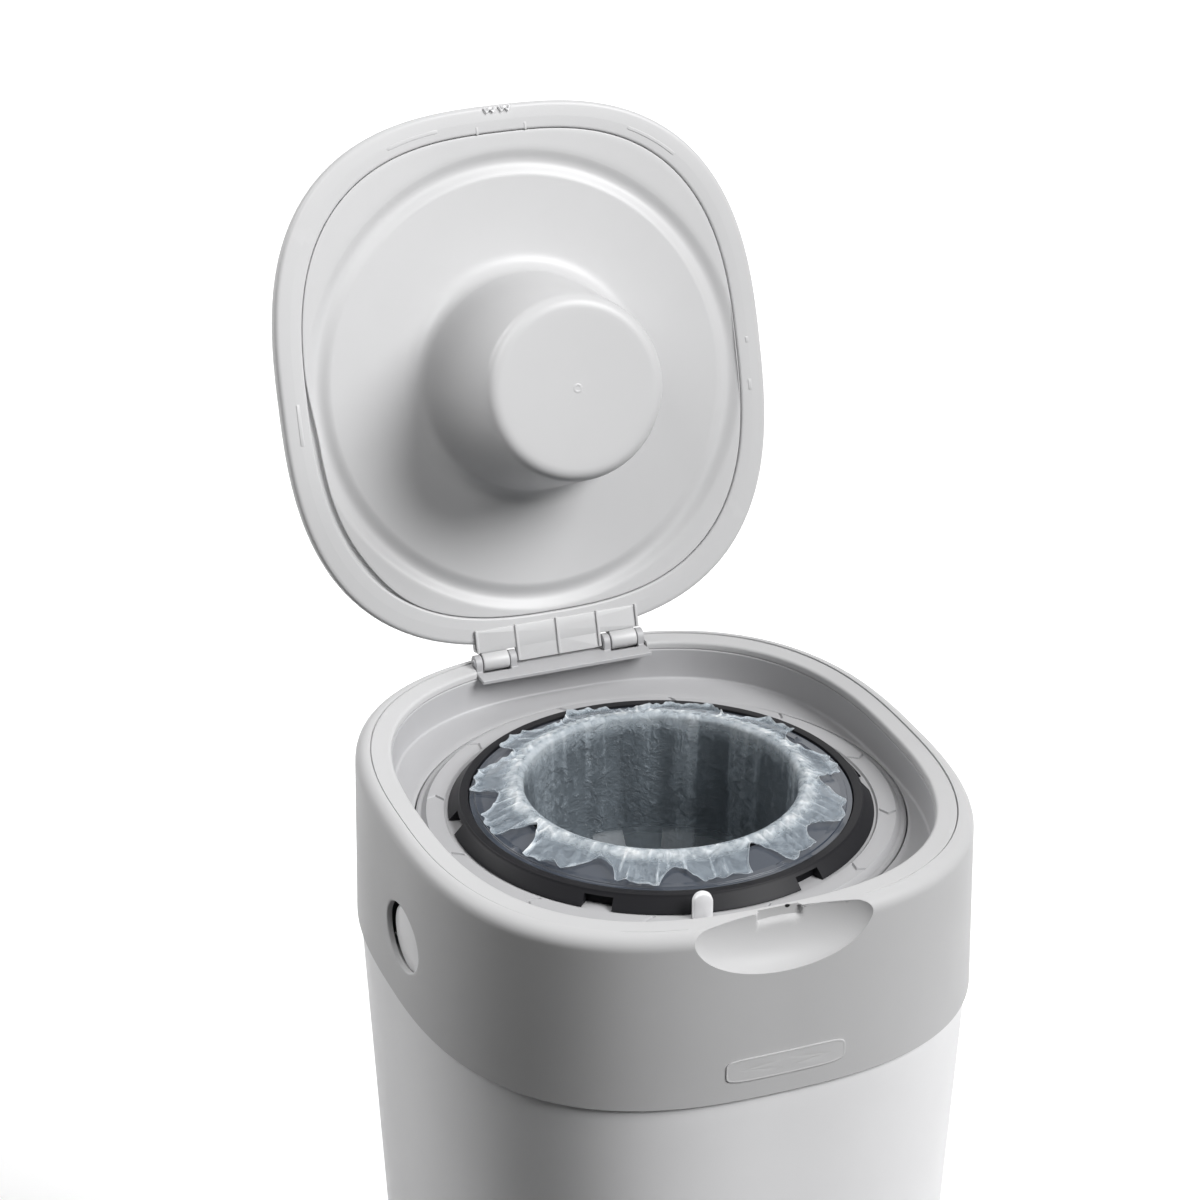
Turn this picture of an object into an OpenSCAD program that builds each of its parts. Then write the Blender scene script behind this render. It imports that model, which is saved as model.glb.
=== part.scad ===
// Nappy bin: a tapered tub, a lift-off collar whose twist ring turns a film cassette,
// and a hinged lid with a plunger. +X is right, -Y is the front, +Z is up.
// The origin is on the floor, under the middle of the tub. The lid is drawn open.

/* [Tub] */
// Height from the floor to the collar's lower edge
tub_h = 353; // [300:1:420]
// Width of the foot, left to right
foot_w = 202; // [185:1:215]
// Depth of the foot, front to back
foot_d = 226; // [205:1:235]
// Wall of the tub
tub_wall = 2.2; // [1.8:0.1:3]
// Step inward from the collar's skirt to the tub
tub_step = 1.4; // [0.8:0.1:2.4]
// Height of the spigot that stands inside the collar
spigot_h = 14; // [8:1:18]
// Rounding of the foot's edge
foot_round = 6; // [3:0.5:10]
// Thickness of the foot pads, which lie flush in the base
pad_h = 1.6; // [1:0.1:2]
// Radius of the foot pads
pad_r = 9; // [6:1:12]

/* [Collar] */
// Width of the collar at its rim
body_w = 237.2; // [232:0.2:250]
// Depth of the collar at its rim
body_d = 260.8; // [255:0.2:280]
// Squareness of the rounded-square outline (2 is an ellipse)
square_n = 2.65; // [2.5:0.05:2.9]
// Height of the collar
collar_h = 77; // [74:1:90]
// Wall of the collar's skirt
collar_wall = 2.4; // [2:0.1:3]
// How far the skirt flares out at its lower edge
collar_flare = 1.2; // [0.6:0.1:2]
// Rounding of the rim's outer edge
rim_round = 6; // [4:0.5:8]
// Width of the rim, from the outer edge to the opening
rim_w = 14.6; // [13.6:0.1:16]
// Depth from the rim to the deck
deck_drop = 18; // [16:0.5:20]
// Thickness of the inner frame
frame_t = 2.4; // [2:0.1:2.8]

/* [Scoop, windows and badge] */
// Width of the finger scoop
scoop_w = 79; // [60:1:90]
// Height of the finger scoop's outline
scoop_h = 40; // [30:1:46]
// Depth of the finger scoop at the rim
scoop_depth = 10.4; // [8:0.1:10.8]
// Length of a side window, front to back
window_l = 30; // [24:1:34]
// Height of a side window
window_h = 21; // [16:1:24]
// Depth of a window's centre below the rim
window_drop = 48; // [44:1:52]
// Travel of a release button
button_travel = 2.5; // [1.5:0.1:3]
// Length of the badge plate
badge_w = 51; // [40:1:60]
// Height of the badge plate
badge_h = 10.4; // [8:0.2:14]

/* [Twist ring] */
// Outer radius of the twist ring
dial_r = 101.8; // [100:0.1:102]
// Height of the raised band above the deck
band_rise = 2.7; // [1.5:0.1:3.5]
// Number of arrow marks
arrow_count = 12; // [6:1:16]
// Number of ratchet teeth
tooth_count = 36; // [24:1:48]
// Height of the cassette catch above the raised band
catch_h = 11.2; // [8:0.2:12]

/* [Cassette] */
// Radius of the cassette skirt's lower edge
skirt_r = 88.7; // [87.5:0.1:89]
// Radius of the cassette's top rim
cass_rim_r = 83.6; // [83:0.1:84.5]
// Height of the cassette skirt
skirt_h = 6.2; // [5:0.1:7.5]
// Radius of the cassette's trough wall, outside
trough_r = 81.6; // [80:0.1:82]
// Height of the cassette below its skirt
trough_h = 42; // [36:1:46]
// Radius of the throat through the cassette
throat_r = 58; // [56:0.5:60]
// Wall of the cassette
cass_wall = 1.8; // [1.4:0.1:2.2]
// Height of the throat's lip above the cassette's rim
lip_rise = 5.6; // [4:0.1:6]
// Length of film hanging below the cassette
film_drop = 115; // [90:1:140]

/* [Lid] */
// Width of the lid
lid_w = 222.4; // [216:0.2:224]
// Depth of the lid, front to back
lid_d = 233.8; // [230:0.2:236]
// Squareness of the lid's outline
lid_n = 2.72; // [2.5:0.02:2.9]
// Height of the lid above its seat
lid_h = 22.2; // [18:0.2:30]
// Wall of the lid's cover
lid_wall = 2.2; // [1.8:0.1:3]
// Width of the lid's rolled edge, from its outline to the inner panel
lip_w = 11.6; // [10:0.1:13]
// Distance from the hinge axis to the lid's rear edge
lid_gap = 5.8; // [5:0.1:7]
// How far the open lid leans back past upright, in degrees
lid_lean = 17.8; // [5:0.1:25]
// Radius of the groove round the plunger
groove_r = 95; // [90:0.5:97]
// Width of the groove
groove_w = 8.6; // [6:0.2:10]
// Radius of the plunger at its root
plunger_root_r = 50; // [46:0.5:54]
// Radius of the plunger at its tip
plunger_tip_r = 39.4; // [34:0.2:42]
// Length of the plunger from the inner panel
plunger_l = 64.4; // [50:0.2:70]
// Radius of the hinge pins
pin_r = 1.8; // [1.5:0.1:2.2]

/* [Hidden] */
$fn = 96;

// Clearances
fit_gap = 0.3;       // between pieces that seat on each other
slide_gap = 0.6;     // round a piece that lifts or turns
run_gap = 0.05;      // round a pin or stem in its bore
eps = 0.01;          // overlap of a cut past a face
side_n = 96;         // points round an outline

// Levels
rim_z = tub_h + collar_h;
deck_z = rim_z - deck_drop;
land_z = rim_z - 0.4;
lip_z = land_z - 3.2;
seat_z = land_z + fit_gap;
spigot_z = tub_h + spigot_h;
ledge_z = spigot_z + fit_gap;
floor_z = pad_h + tub_wall + 0.4;

// Tub
pad_side = 39;       // from the foot's edge to a pad's centre, at the side
pad_end = 41;        // and at the front and rear
pad_x = foot_w / 2 - pad_side;
pad_y = foot_d / 2 - pad_end;
spigot_out = skirt_inset(spigot_z) + collar_wall + 0.5;
spigot_in = spigot_out + tub_wall;

// The cassette, its ring and the plunger share this axis
well_y = -2;

// Twist ring and cassette
dial_t = frame_t;
dial_bottom = deck_z - dial_t;
band_z = deck_z + band_rise;
seat_ring_z = band_z - 0.8;
skirt_z = seat_ring_z + fit_gap;
cass_top = skirt_z + skirt_h;
cass_bottom = skirt_z - trough_h;
well_r = trough_r + slide_gap;
well_wall = 2.2;
well_outer = well_r + well_wall;
well_bottom = cass_bottom - fit_gap - well_wall;
lip_top = cass_top + lip_rise;
dial_hole_r = dial_r + slide_gap;
ratchet_tip_r = well_outer + 8.4;
ratchet_top = dial_bottom - frame_t - 3.6;
ratchet_h = 8;
housing_r = ratchet_tip_r + 3.5;
housing_wall = 2.2;
housing_outer = housing_r + housing_wall;
housing_top = dial_bottom - fit_gap;
housing_bottom = well_bottom - fit_gap - housing_wall - 1;
flange_outer = dial_hole_r + 2.4;
film_t = 0.8;

// Screws that hold the housing to the deck
screw_count = 4;
screw_at = flange_outer + 5.4;
screw_r = 1.9;
screw_head_r = 3.8;
boss_r = 5;
ear_t = 3;
ear_z = dial_bottom - frame_t - 8;

// Hinge
hinge_inset = 12.6;  // from the rim's rear edge to the hinge axis
hinge_rise = 1.1;
hinge_y = body_d / 2 - hinge_inset;
hinge_z = seat_z + hinge_rise;
knuckle_r = 4;
knuckle_from = 24;
knuckle_to = 36;
lug_t = 3.2;
lug_gap = 0.4;
strip_hw = knuckle_to + lug_gap + lug_t;
strip_fore = 12.4;
strip_aft = 4.6;
strip_front = hinge_y - strip_fore;
strip_back = hinge_y + strip_aft;
strip_top = lip_z + 1.8;
lid_cy = hinge_y - lid_gap - lid_d / 2;
lid_open = 90 + lid_lean;
flange_hw = 38;
flange_fore = 11.2;   // from the hinge axis to the flange's front
flange_d = 6.6;
panel_face = 0.5;      // from the lid's seat up to the inner panel
panel_t = 2;
joint_r = plunger_root_r + 1.4;
joint_drop = 0.9;

// Release buttons
window_y = -8;
window_z = rim_z - window_drop;
button_recess = 3;
button_t = 3;
button_l = window_l - 4;
button_h = window_h - 1.2;
button_y = window_y - 1.4;
stem_r = 4;
bracket_wall_x = housing_outer + 2.7;
bracket_t = 2;
bracket_hl = window_l / 2 + 4;
bracket_hh = window_h / 2 + 3;
spring_outer = 5.8;
spring_inner = 4.6;
leg_w = 10;
leg_t = 2.4;

// Front latch
hook_xs = [-3.5, 5.5];
hook_w = 6;
hook_drop = 3;
hook_t = 1;
hook_inset = 2.2;    // from the lid's front edge
hook_y = lid_cy - lid_d / 2 + hook_inset;
latch_hw = 8.5;
latch_x = 1;
latch_open = 3;

// Radius of a rounded-square outline at angle t
function oval_r(t, hw, hd, n) =
    pow(pow(abs(cos(t)) / hw, n) + pow(abs(sin(t)) / hd, n), -1 / n);

// Points of one level: half width, half depth, height and centre y
function level(hw, hd, z, cy = 0, n = square_n) =
    [for (i = [0 : side_n - 1]) let (t = 360 * i / side_n, r = oval_r(t, hw, hd, n))
        [r * cos(t), cy + r * sin(t), z]];

// One level of the collar, at an inset from its rim outline
function collar_level(inset, z) = level(body_w / 2 - inset, body_d / 2 - inset, z);

// One level of the lid, at an inset from its outline and a height above its seat
function lid_level(inset, h) = level(lid_w / 2 - inset, lid_d / 2 - inset, seat_z + h, lid_cy, lid_n);

// Inset of the collar's outside at height z, because the skirt flares downward
function skirt_inset(z) = -collar_flare * (rim_z - rim_round - z) / (collar_h - rim_round);

// Half sizes of the tub's outside at height z
function tub_hw(z) = foot_w / 2 + (body_w / 2 + collar_flare - tub_step - foot_w / 2) * z / tub_h;
function tub_hd(z) = foot_d / 2 + (body_d / 2 + collar_flare - tub_step - foot_d / 2) * z / tub_h;
function tub_level(inset, z) = level(tub_hw(z) - inset, tub_hd(z) - inset, z);

function polar(r, t) = [r * cos(t), r * sin(t)];

// Points of an ellipse or rounded square in the plane
function flat_oval(hw, hd, n) =
    [for (i = [0 : side_n / 2 - 1]) let (t = 720 * i / side_n, r = oval_r(t, hw, hd, n)) [r * cos(t), r * sin(t)]];

// A solid skinned over levels that go round a wall's section. wrap joins the last to the first;
// otherwise the first and last levels are closed by flat faces.
module skin(levels, wrap = false)
{
    n = side_n;
    m = len(levels);
    points = [for (l = levels) for (p = l) p];
    sides = [for (k = [0 : (wrap ? m - 1 : m - 2)]) for (i = [0 : n - 1])
        let (a = k * n, b = ((k + 1) % m) * n, j = (i + 1) % n)
        each [[a + i, b + j, a + j], [a + i, b + i, b + j]]];
    ends = wrap ? [] : [[for (i = [0 : n - 1]) i], [for (i = [n - 1 : -1 : 0]) (m - 1) * n + i]];
    polyhedron(points, concat(sides, ends), convexity = 8);
}

// A ring turned about the cassette's axis
module turned(profile)
{
    translate([0, well_y, 0]) rotate_extrude($fn = 120) polygon(profile);
}

// Children stand at each screw, turned to face outward
module at_screws()
{
    translate([0, well_y, 0]) for (i = [0 : screw_count - 1]) rotate(45 + 360 * i / screw_count)
        translate([screw_at, 0, 0]) children();
}

module mirrored_x()
{
    children();
    mirror([1, 0, 0]) children();
}

/* ---------- Tub ---------- */

module tub_shell()
{
    shoulder_z = tub_h - fit_gap;
    bevel = foot_round * (1 - cos(45));
    color("whitesmoke") difference() {
        skin([
            tub_level(foot_round, 0),
            tub_level(bevel, bevel),
            tub_level(0, foot_round),
            tub_level(0, shoulder_z),
            collar_level(spigot_out, shoulder_z),
            collar_level(spigot_out, spigot_z),
            collar_level(spigot_in, spigot_z),
            collar_level(spigot_in, shoulder_z - 4),
            tub_level(tub_wall, shoulder_z - 10),
            tub_level(tub_wall, floor_z + foot_round),
            tub_level(foot_round, floor_z)
        ]);
        mirrored_x() translate([0, window_y - leg_w / 2 - 1, shoulder_z + 2])
            cube([body_w, leg_w + 2, spigot_h - 6]);
        for (x = [-1, 1], y = [-1, 1])
            translate([x * pad_x, y * pad_y, -eps]) cylinder(r = pad_r + 0.1, h = pad_h + 0.1 + eps);
    }
}

module foot_pads()
{
    color("dimgray")
        for (x = [-1, 1], y = [-1, 1])
            translate([x * pad_x, y * pad_y, 0]) cylinder(r = pad_r, h = pad_h);
}

/* ---------- Collar ---------- */

// The scoop's ellipsoid, grown by a margin
module scoop_form(grow)
{
    centre_out = 0.6;
    translate([0, -body_d / 2 - centre_out, rim_z - 1.7])
        scale([scoop_w / 2 + grow, scoop_depth + centre_out + grow, scoop_h / 2 + grow])
            sphere(r = 1, $fn = 40);
}

module window_cut()
{
    reach = 12;
    translate([body_w / 2 - reach, window_y, window_z])
        rotate([90, 0, 90]) linear_extrude(2 * reach) polygon(flat_oval(window_l / 2, window_h / 2, 2));
}

module collar_shell()
{
    under = collar_wall + 5.6;
    color("darkgray") difference() {
        union() {
            skin([
                collar_level(skirt_inset(tub_h), tub_h),
                collar_level(0, rim_z - rim_round),
                collar_level(rim_round * (1 - cos(30)), rim_z - rim_round * (1 - sin(30))),
                collar_level(rim_round * (1 - cos(60)), rim_z - rim_round * (1 - sin(60))),
                collar_level(rim_round, rim_z),
                collar_level(rim_round + 0.5, land_z),
                collar_level(rim_w - 1.2, land_z),
                collar_level(rim_w, land_z - 1.2),
                collar_level(rim_w, lip_z),
                collar_level(under, lip_z),
                collar_level(collar_wall, lip_z - 5),
                collar_level(skirt_inset(ledge_z + 4) + collar_wall, ledge_z + 4),
                collar_level(skirt_inset(ledge_z) + collar_wall + 4.6, ledge_z + 2.4),
                collar_level(skirt_inset(ledge_z) + collar_wall + 4.6, ledge_z),
                collar_level(skirt_inset(ledge_z) + collar_wall, ledge_z),
                collar_level(skirt_inset(tub_h) + collar_wall, tub_h)
            ], wrap = true);
            intersection() {
                scoop_form(collar_wall - 0.4);
                skin([collar_level(0.6, window_z), collar_level(0.6, rim_z - rim_round),
                      collar_level(rim_round, land_z)]);
            }
        }
        scoop_form(0);
        mirrored_x() window_cut();
        // Room for the legs of the release buttons
        mirrored_x() translate([body_w / 2 - collar_wall - 9, window_y - leg_w / 2 - 2, ledge_z - 1])
            cube([9, leg_w + 4, 7]);
        // Bay for the hinge strip
        translate([-strip_hw - lug_gap, strip_front - 10, lip_z - eps])
            cube([2 * (strip_hw + lug_gap), strip_back + lug_gap - strip_front + 10, 10]);
        // Recess for the lid's hooks, open to the scoop
        translate([latch_x - latch_hw, hook_y - latch_open, lip_z - 1])
            cube([2 * latch_hw, latch_open + hook_t / 2 + fit_gap, 10]);
    }
}

module inner_frame()
{
    top_z = lip_z - 0.2;
    flange_bottom = top_z - frame_t;
    wall_in = rim_w + 0.4;
    wall_low = wall_in + 0.3;
    wall_out = wall_in - frame_t;
    flange_out = collar_wall + 6;
    boss_h = dial_bottom - ear_z - ear_t;
    color("gainsboro") difference() {
        union() {
            skin([
                collar_level(wall_out, dial_bottom),
                collar_level(wall_out, flange_bottom),
                collar_level(flange_out, flange_bottom),
                collar_level(flange_out, top_z),
                collar_level(wall_in, top_z),
                collar_level(wall_low, deck_z),
                collar_level(rim_w + 8, deck_z),
                collar_level(rim_w + 8, dial_bottom)
            ], wrap = true);
            // The deck reaches in to the twist ring
            difference() {
                skin([collar_level(rim_w + 2, dial_bottom), collar_level(rim_w + 2, deck_z)]);
                translate([0, well_y, 0]) cylinder(r = dial_r - 8, h = rim_z);
            }
            at_screws() translate([0, 0, dial_bottom - boss_h]) cylinder(r = boss_r, h = boss_h + 1);
        }
        translate([0, well_y, 0]) cylinder(r = dial_hole_r, h = rim_z);
        at_screws() translate([0, 0, dial_bottom - boss_h - 1]) cylinder(r = screw_r + run_gap, h = boss_h);
        scoop_form(collar_wall + 0.2);
    }
}

module ring_housing()
{
    color("dimgray") difference() {
        union() {
            turned([
                [well_outer + 2.6, housing_top], [well_outer + 2.6, housing_top - frame_t],
                [housing_r, housing_top - frame_t], [housing_r, housing_bottom + housing_wall],
                [throat_r + 4, housing_bottom + housing_wall], [throat_r + 4, housing_bottom],
                [housing_outer, housing_bottom], [housing_outer, housing_top - frame_t],
                [flange_outer, housing_top - frame_t], [flange_outer, housing_top]
            ]);
            at_screws() {
                translate([0, 0, ear_z]) cylinder(r = boss_r, h = ear_t);
                translate([housing_outer - 4 - screw_at, -boss_r, ear_z])
                    cube([screw_at - housing_outer + 4, 2 * boss_r, ear_t]);
            }
        }
        at_screws() translate([0, 0, ear_z - 1]) cylinder(r = screw_r + run_gap, h = ear_t + 2);
        // The ears stop at the housing's own wall
        translate([0, well_y, housing_bottom + housing_wall])
            cylinder(r = housing_r, h = housing_top - frame_t - housing_bottom - housing_wall);
    }
}

module housing_screws()
{
    shank = 8;
    head_h = 2.6;
    color("silver") at_screws() translate([0, 0, ear_z]) {
        translate([0, 0, -head_h]) cylinder(r = screw_head_r, h = head_h - run_gap);
        translate([0, 0, -1]) cylinder(r = screw_r, h = shank + 1);
    }
}

module nappy_fingers()
{
    root_r = throat_r + 3;
    finger_w = 14;
    finger_l = 23;
    finger_t = 1.4;
    slope = 50;
    count = 12;
    ring_z = housing_bottom + housing_wall + 0.1;
    color("slategray") difference() {
        union() {
            turned([[root_r, ring_z], [root_r, ring_z + 1.8], [root_r + 14, ring_z + 1.8], [root_r + 14, ring_z]]);
            translate([0, well_y, ring_z]) for (i = [0 : count - 1]) rotate(360 * i / count)
                translate([root_r + 0.6, 0, 0]) rotate([0, -slope, 0])
                    translate([-finger_l, -finger_w / 2, 0]) cube([finger_l + finger_t, finger_w, finger_t]);
        }
        translate([0, well_y, ring_z + 1.8]) cylinder(r = root_r + 20, h = 30);
    }
}

module click_pawl()
{
    foot_z = ratchet_top - ratchet_h + 1;
    tip = ratchet_tip_r + 0.5;
    seat = housing_r - 0.15;
    color("slategray") translate([0, well_y, foot_z]) rotate(200) linear_extrude(ratchet_h - 2)
        polygon([polar(tip, 0), polar(tip + 1, 0), polar(seat, 9), polar(seat, 15), polar(seat - 2, 15),
                 polar(seat - 1.7, 8)]);
}

module hinge_strip()
{
    color("gainsboro") difference() {
        union() {
            translate([-strip_hw, strip_front, lip_z])
                cube([2 * strip_hw, strip_back - strip_front, strip_top - lip_z]);
            mirrored_x() for (x = [knuckle_from - lug_gap - lug_t, knuckle_to + lug_gap]) translate([x, hinge_y, 0]) {
                translate([0, 0, hinge_z]) rotate([0, 90, 0]) cylinder(r = knuckle_r - 0.4, h = lug_t);
                translate([0, -knuckle_r + 0.4, lip_z]) cube([lug_t, 2 * knuckle_r - 0.8, hinge_z - lip_z]);
            }
        }
        mirrored_x() translate([knuckle_from - lug_gap, hinge_y - knuckle_r - 0.6, lip_z - 1])
            cube([knuckle_to - knuckle_from + 2 * lug_gap, 2 * knuckle_r + 6, 10]);
        mirrored_x() translate([knuckle_from - 8, hinge_y, hinge_z]) rotate([0, 90, 0])
            cylinder(r = pin_r + run_gap, h = strip_hw);
    }
}

module hinge_pins()
{
    color("silver") mirrored_x() translate([knuckle_from - lug_gap - lug_t, hinge_y, hinge_z])
        rotate([0, 90, 0]) cylinder(r = pin_r, h = strip_hw - knuckle_from + lug_gap + lug_t);
}

module badge_plate()
{
    mid_z = tub_h + 14;
    proud = 0.7;
    color("silver") intersection() {
        difference() {
            skin([collar_level(skirt_inset(tub_h) - proud, tub_h), collar_level(-proud, rim_z - rim_round)]);
            skin([collar_level(skirt_inset(tub_h) - 0.05, tub_h - 1), collar_level(-0.05, rim_z - rim_round + 1)]);
        }
        translate([0.5, -body_d / 2 + 10, mid_z]) rotate([90, 0, 0])
            linear_extrude(20) polygon(flat_oval(badge_w / 2, badge_h / 2, 6));
    }
}

/* ---------- Release buttons ---------- */

// Outside of the skirt at the windows
window_x = body_w / 2 - skirt_inset(window_z);
button_face = window_x - button_recess;

module button_brackets()
{
    reach = window_x - collar_wall - 1.3;
    low = ledge_z + 4 + fit_gap;
    high = window_z + bracket_hh;
    color("dimgray") mirrored_x() difference() {
        translate([bracket_wall_x, window_y - bracket_hl, low])
            cube([reach - bracket_wall_x, 2 * bracket_hl, high - low]);
        translate([bracket_wall_x + bracket_t, window_y - bracket_hl + bracket_t, low - 1])
            cube([reach, 2 * bracket_hl - 2 * bracket_t, high - low + 1 - bracket_t]);
        translate([bracket_wall_x - 1, button_y, window_z]) rotate([0, 90, 0])
            cylinder(r = stem_r + run_gap, h = bracket_t + 2);
    }
}

module release_button()
{
    back = button_face - button_t;
    leg_bottom = tub_h + 3;
    leg_top = window_z - spring_outer - 0.4;
    leg_x = body_w / 2 - spigot_in - 0.5;
    stem_x = housing_outer + button_travel + 0.8;
    translate([back, button_y, window_z]) rotate([90, 0, 90])
        linear_extrude(button_t) polygon(flat_oval(button_l / 2, button_h / 2, 2));
    translate([stem_x, button_y, window_z]) rotate([0, 90, 0]) cylinder(r = stem_r, h = back - stem_x + 1);
    translate([leg_x - leg_t, window_y - leg_w / 2, leg_bottom]) cube([leg_t, leg_w, leg_top - leg_bottom]);
}

module release_button_left()
{
    color("white") mirror([1, 0, 0]) release_button();
}

module release_button_right()
{
    color("white") release_button();
}

module release_spring()
{
    from_x = bracket_wall_x + bracket_t + 0.1;
    translate([from_x, button_y, window_z]) rotate([0, 90, 0]) difference() {
        cylinder(r = spring_outer, h = button_face - button_t - from_x - 0.1);
        translate([0, 0, -1]) cylinder(r = spring_inner, h = button_face);
    }
}

module release_spring_left()
{
    color("silver") mirror([1, 0, 0]) release_spring();
}

module release_spring_right()
{
    color("silver") release_spring();
}

/* ---------- Twist ring ---------- */

catch_at = skirt_r + 3.1;
catch_w = 8;
catch_t = 4;
catch_turn = -102;
catch_pin_r = 1.2;
catch_pin_z = dial_bottom + 2.4;

module arrow_mark()
{
    arm = 5;
    for (s = [-1, 1]) rotate(s * 40) translate([-0.4, s > 0 ? 0 : -arm, 0]) cube([0.8, arm, 2]);
}

module twist_ring()
{
    crest = 1;
    color("lightgray") difference() {
        turned([
            [well_r, well_bottom], [well_outer, well_bottom], [well_outer, dial_bottom],
            [dial_r, dial_bottom], [dial_r, deck_z], [dial_r - crest, deck_z + 0.4],
            [dial_r - 2.4, deck_z + 0.4], [dial_r - 4.6, band_z], [skirt_r + 1.3, band_z],
            [skirt_r + 0.6, seat_ring_z], [well_r, seat_ring_z]
        ]);
        translate([0, well_y, band_z - 0.4]) for (i = [0 : arrow_count - 1]) rotate(4 + 360 * i / arrow_count)
            translate([skirt_r + 5.5, 0, 0]) rotate(-90) arrow_mark();
        translate([0, well_y, 0]) rotate(catch_turn) {
            translate([catch_at - catch_t / 2 - 0.5, -catch_w / 2 - 0.4, dial_bottom - 1])
                cube([catch_t + 2.6, catch_w + 0.8, 20]);
            translate([catch_at, -catch_w / 2 - 2, catch_pin_z]) rotate([-90, 0, 0])
                cylinder(r = catch_pin_r + run_gap, h = catch_w + 4);
        }
    }
}

module ratchet_ring()
{
    root_r = ratchet_tip_r - 2.4;
    teeth = [for (i = [0 : tooth_count - 1], k = [0, 1])
        let (t = 360 * (i + (k == 0 ? 0 : 0.9)) / tooth_count, r = k == 0 ? ratchet_tip_r : root_r)
        [r * cos(t), r * sin(t)]];
    color("slategray") translate([0, well_y, ratchet_top - ratchet_h]) difference() {
        linear_extrude(ratchet_h) polygon(teeth);
        translate([0, 0, -1]) cylinder(r = well_outer + run_gap, h = ratchet_h + 2);
    }
}

module cassette_catch()
{
    top = band_z + catch_h - catch_w / 2;
    color("white") translate([0, well_y, 0]) rotate(catch_turn) translate([catch_at, 0, 0]) {
        translate([-catch_t / 2, -catch_w / 2, dial_bottom + 0.3]) cube([catch_t, catch_w, top - dial_bottom - 0.3]);
        translate([-catch_t / 2, 0, top]) rotate([0, 90, 0]) cylinder(r = catch_w / 2, h = catch_t);
        translate([0, -catch_w / 2 - 1.8, catch_pin_z]) rotate([-90, 0, 0])
            cylinder(r = catch_pin_r, h = catch_w + 3.6);
    }
}

/* ---------- Cassette and film ---------- */

module cassette_body()
{
    core_r = throat_r + cass_wall + 0.6;
    floor_z = cass_bottom + cass_wall;
    notch_w = 12;
    notch_count = 6;
    color([0.1, 0.1, 0.11]) difference() {
        turned([
            [throat_r, cass_bottom], [trough_r, cass_bottom], [trough_r, cass_top - cass_wall],
            [cass_rim_r - 1, cass_top - cass_wall], [skirt_r - cass_wall, skirt_z], [skirt_r, skirt_z],
            [cass_rim_r, cass_top - 0.4], [cass_rim_r - 0.6, cass_top], [trough_r - cass_wall, cass_top],
            [trough_r - cass_wall, floor_z], [core_r, floor_z], [core_r, lip_top - 0.8],
            [core_r - 0.8, lip_top], [throat_r + 0.8, lip_top], [throat_r, lip_top - 0.8]
        ]);
        translate([0, well_y, skirt_z - 1]) for (i = [0 : notch_count - 1]) rotate(-9 + 360 * i / notch_count)
            translate([trough_r + 1.4, -notch_w / 2, 0]) cube([12, notch_w, skirt_h - 0.8]);
    }
}

module cassette_cover()
{
    outer = trough_r - cass_wall - 0.2;
    inner = throat_r + cass_wall + 2.4;
    low = cass_top - 1;
    high = lip_top - 1.6;
    t = 1.6;
    color([0.18, 0.2, 0.25]) turned([
        [outer, low - t], [outer, low], [outer - 4, low], [outer - 5, low + 0.9],
        [inner + 3, high], [inner, high], [inner, high - t - 1], [inner + 3, high - t],
        [outer - 5, low + 0.9 - t], [outer - 4, low - t]
    ]);
}

module film_pack()
{
    color("aliceblue") turned([
        [throat_r + cass_wall + 1.2, cass_bottom + cass_wall + 0.3],
        [trough_r - cass_wall - 0.6, cass_bottom + cass_wall + 0.3],
        [trough_r - cass_wall - 0.6, cass_top - 6], [throat_r + cass_wall + 1.2, cass_top - 6]
    ]);
}

module film_liner()
{
    over = lip_top + 0.3;
    edge = trough_r - cass_wall - 4;
    cover_low = cass_top + 0.4;
    inside = throat_r - 0.4;
    finger_gap_r = throat_r - 13.2;
    knot_z = cass_bottom - film_drop;
    knot_r = 5;
    color([0.86, 0.92, 0.97, 0.6]) turned([
        [0, knot_z - 7], [knot_r, knot_z - 7], [knot_r, knot_z], [finger_gap_r - 17, knot_z + 16],
        [finger_gap_r - 4, knot_z + 48], [finger_gap_r, cass_bottom - 40], [finger_gap_r, cass_bottom - 20],
        [inside - 1, cass_bottom], [inside, lip_top - 0.6], [throat_r + 0.3, over],
        [throat_r + 2.8, over], [edge - 4, cover_low + 0.9], [edge, cover_low], [edge, cover_low + film_t],
        [edge - 4, cover_low + 0.9 + film_t], [throat_r + 2.8, over + film_t], [throat_r - 0.1, over + film_t],
        [inside - film_t, lip_top - 0.3], [inside - 1 - film_t, cass_bottom],
        [finger_gap_r - film_t, cass_bottom - 20], [finger_gap_r - film_t, cass_bottom - 40],
        [finger_gap_r - 4 - film_t, knot_z + 48], [finger_gap_r - 17 - film_t, knot_z + 16.8],
        [knot_r - film_t, knot_z + film_t], [0, knot_z + film_t]
    ]);
}

/* ---------- Lid ---------- */

// Children drawn shut are turned open about the hinge axis
module opened()
{
    translate([0, hinge_y, hinge_z]) rotate([-lid_open, 0, 0]) translate([0, -hinge_y, -hinge_z]) children();
}

// The cover's crown, as insets from the outline and depths below its top: outside upward, inside downward
crown = [[1, 13.7], [3.5, 10.2], [8, 7.2], [16, 4.6], [32, 2.4], [60, 0.8], [95, 0]];
under_crown = [[95, 0], [60, 0.8], [32, 2.4], [16, 4.8], [10, 7.6], [5.5, 10.5]];

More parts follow.
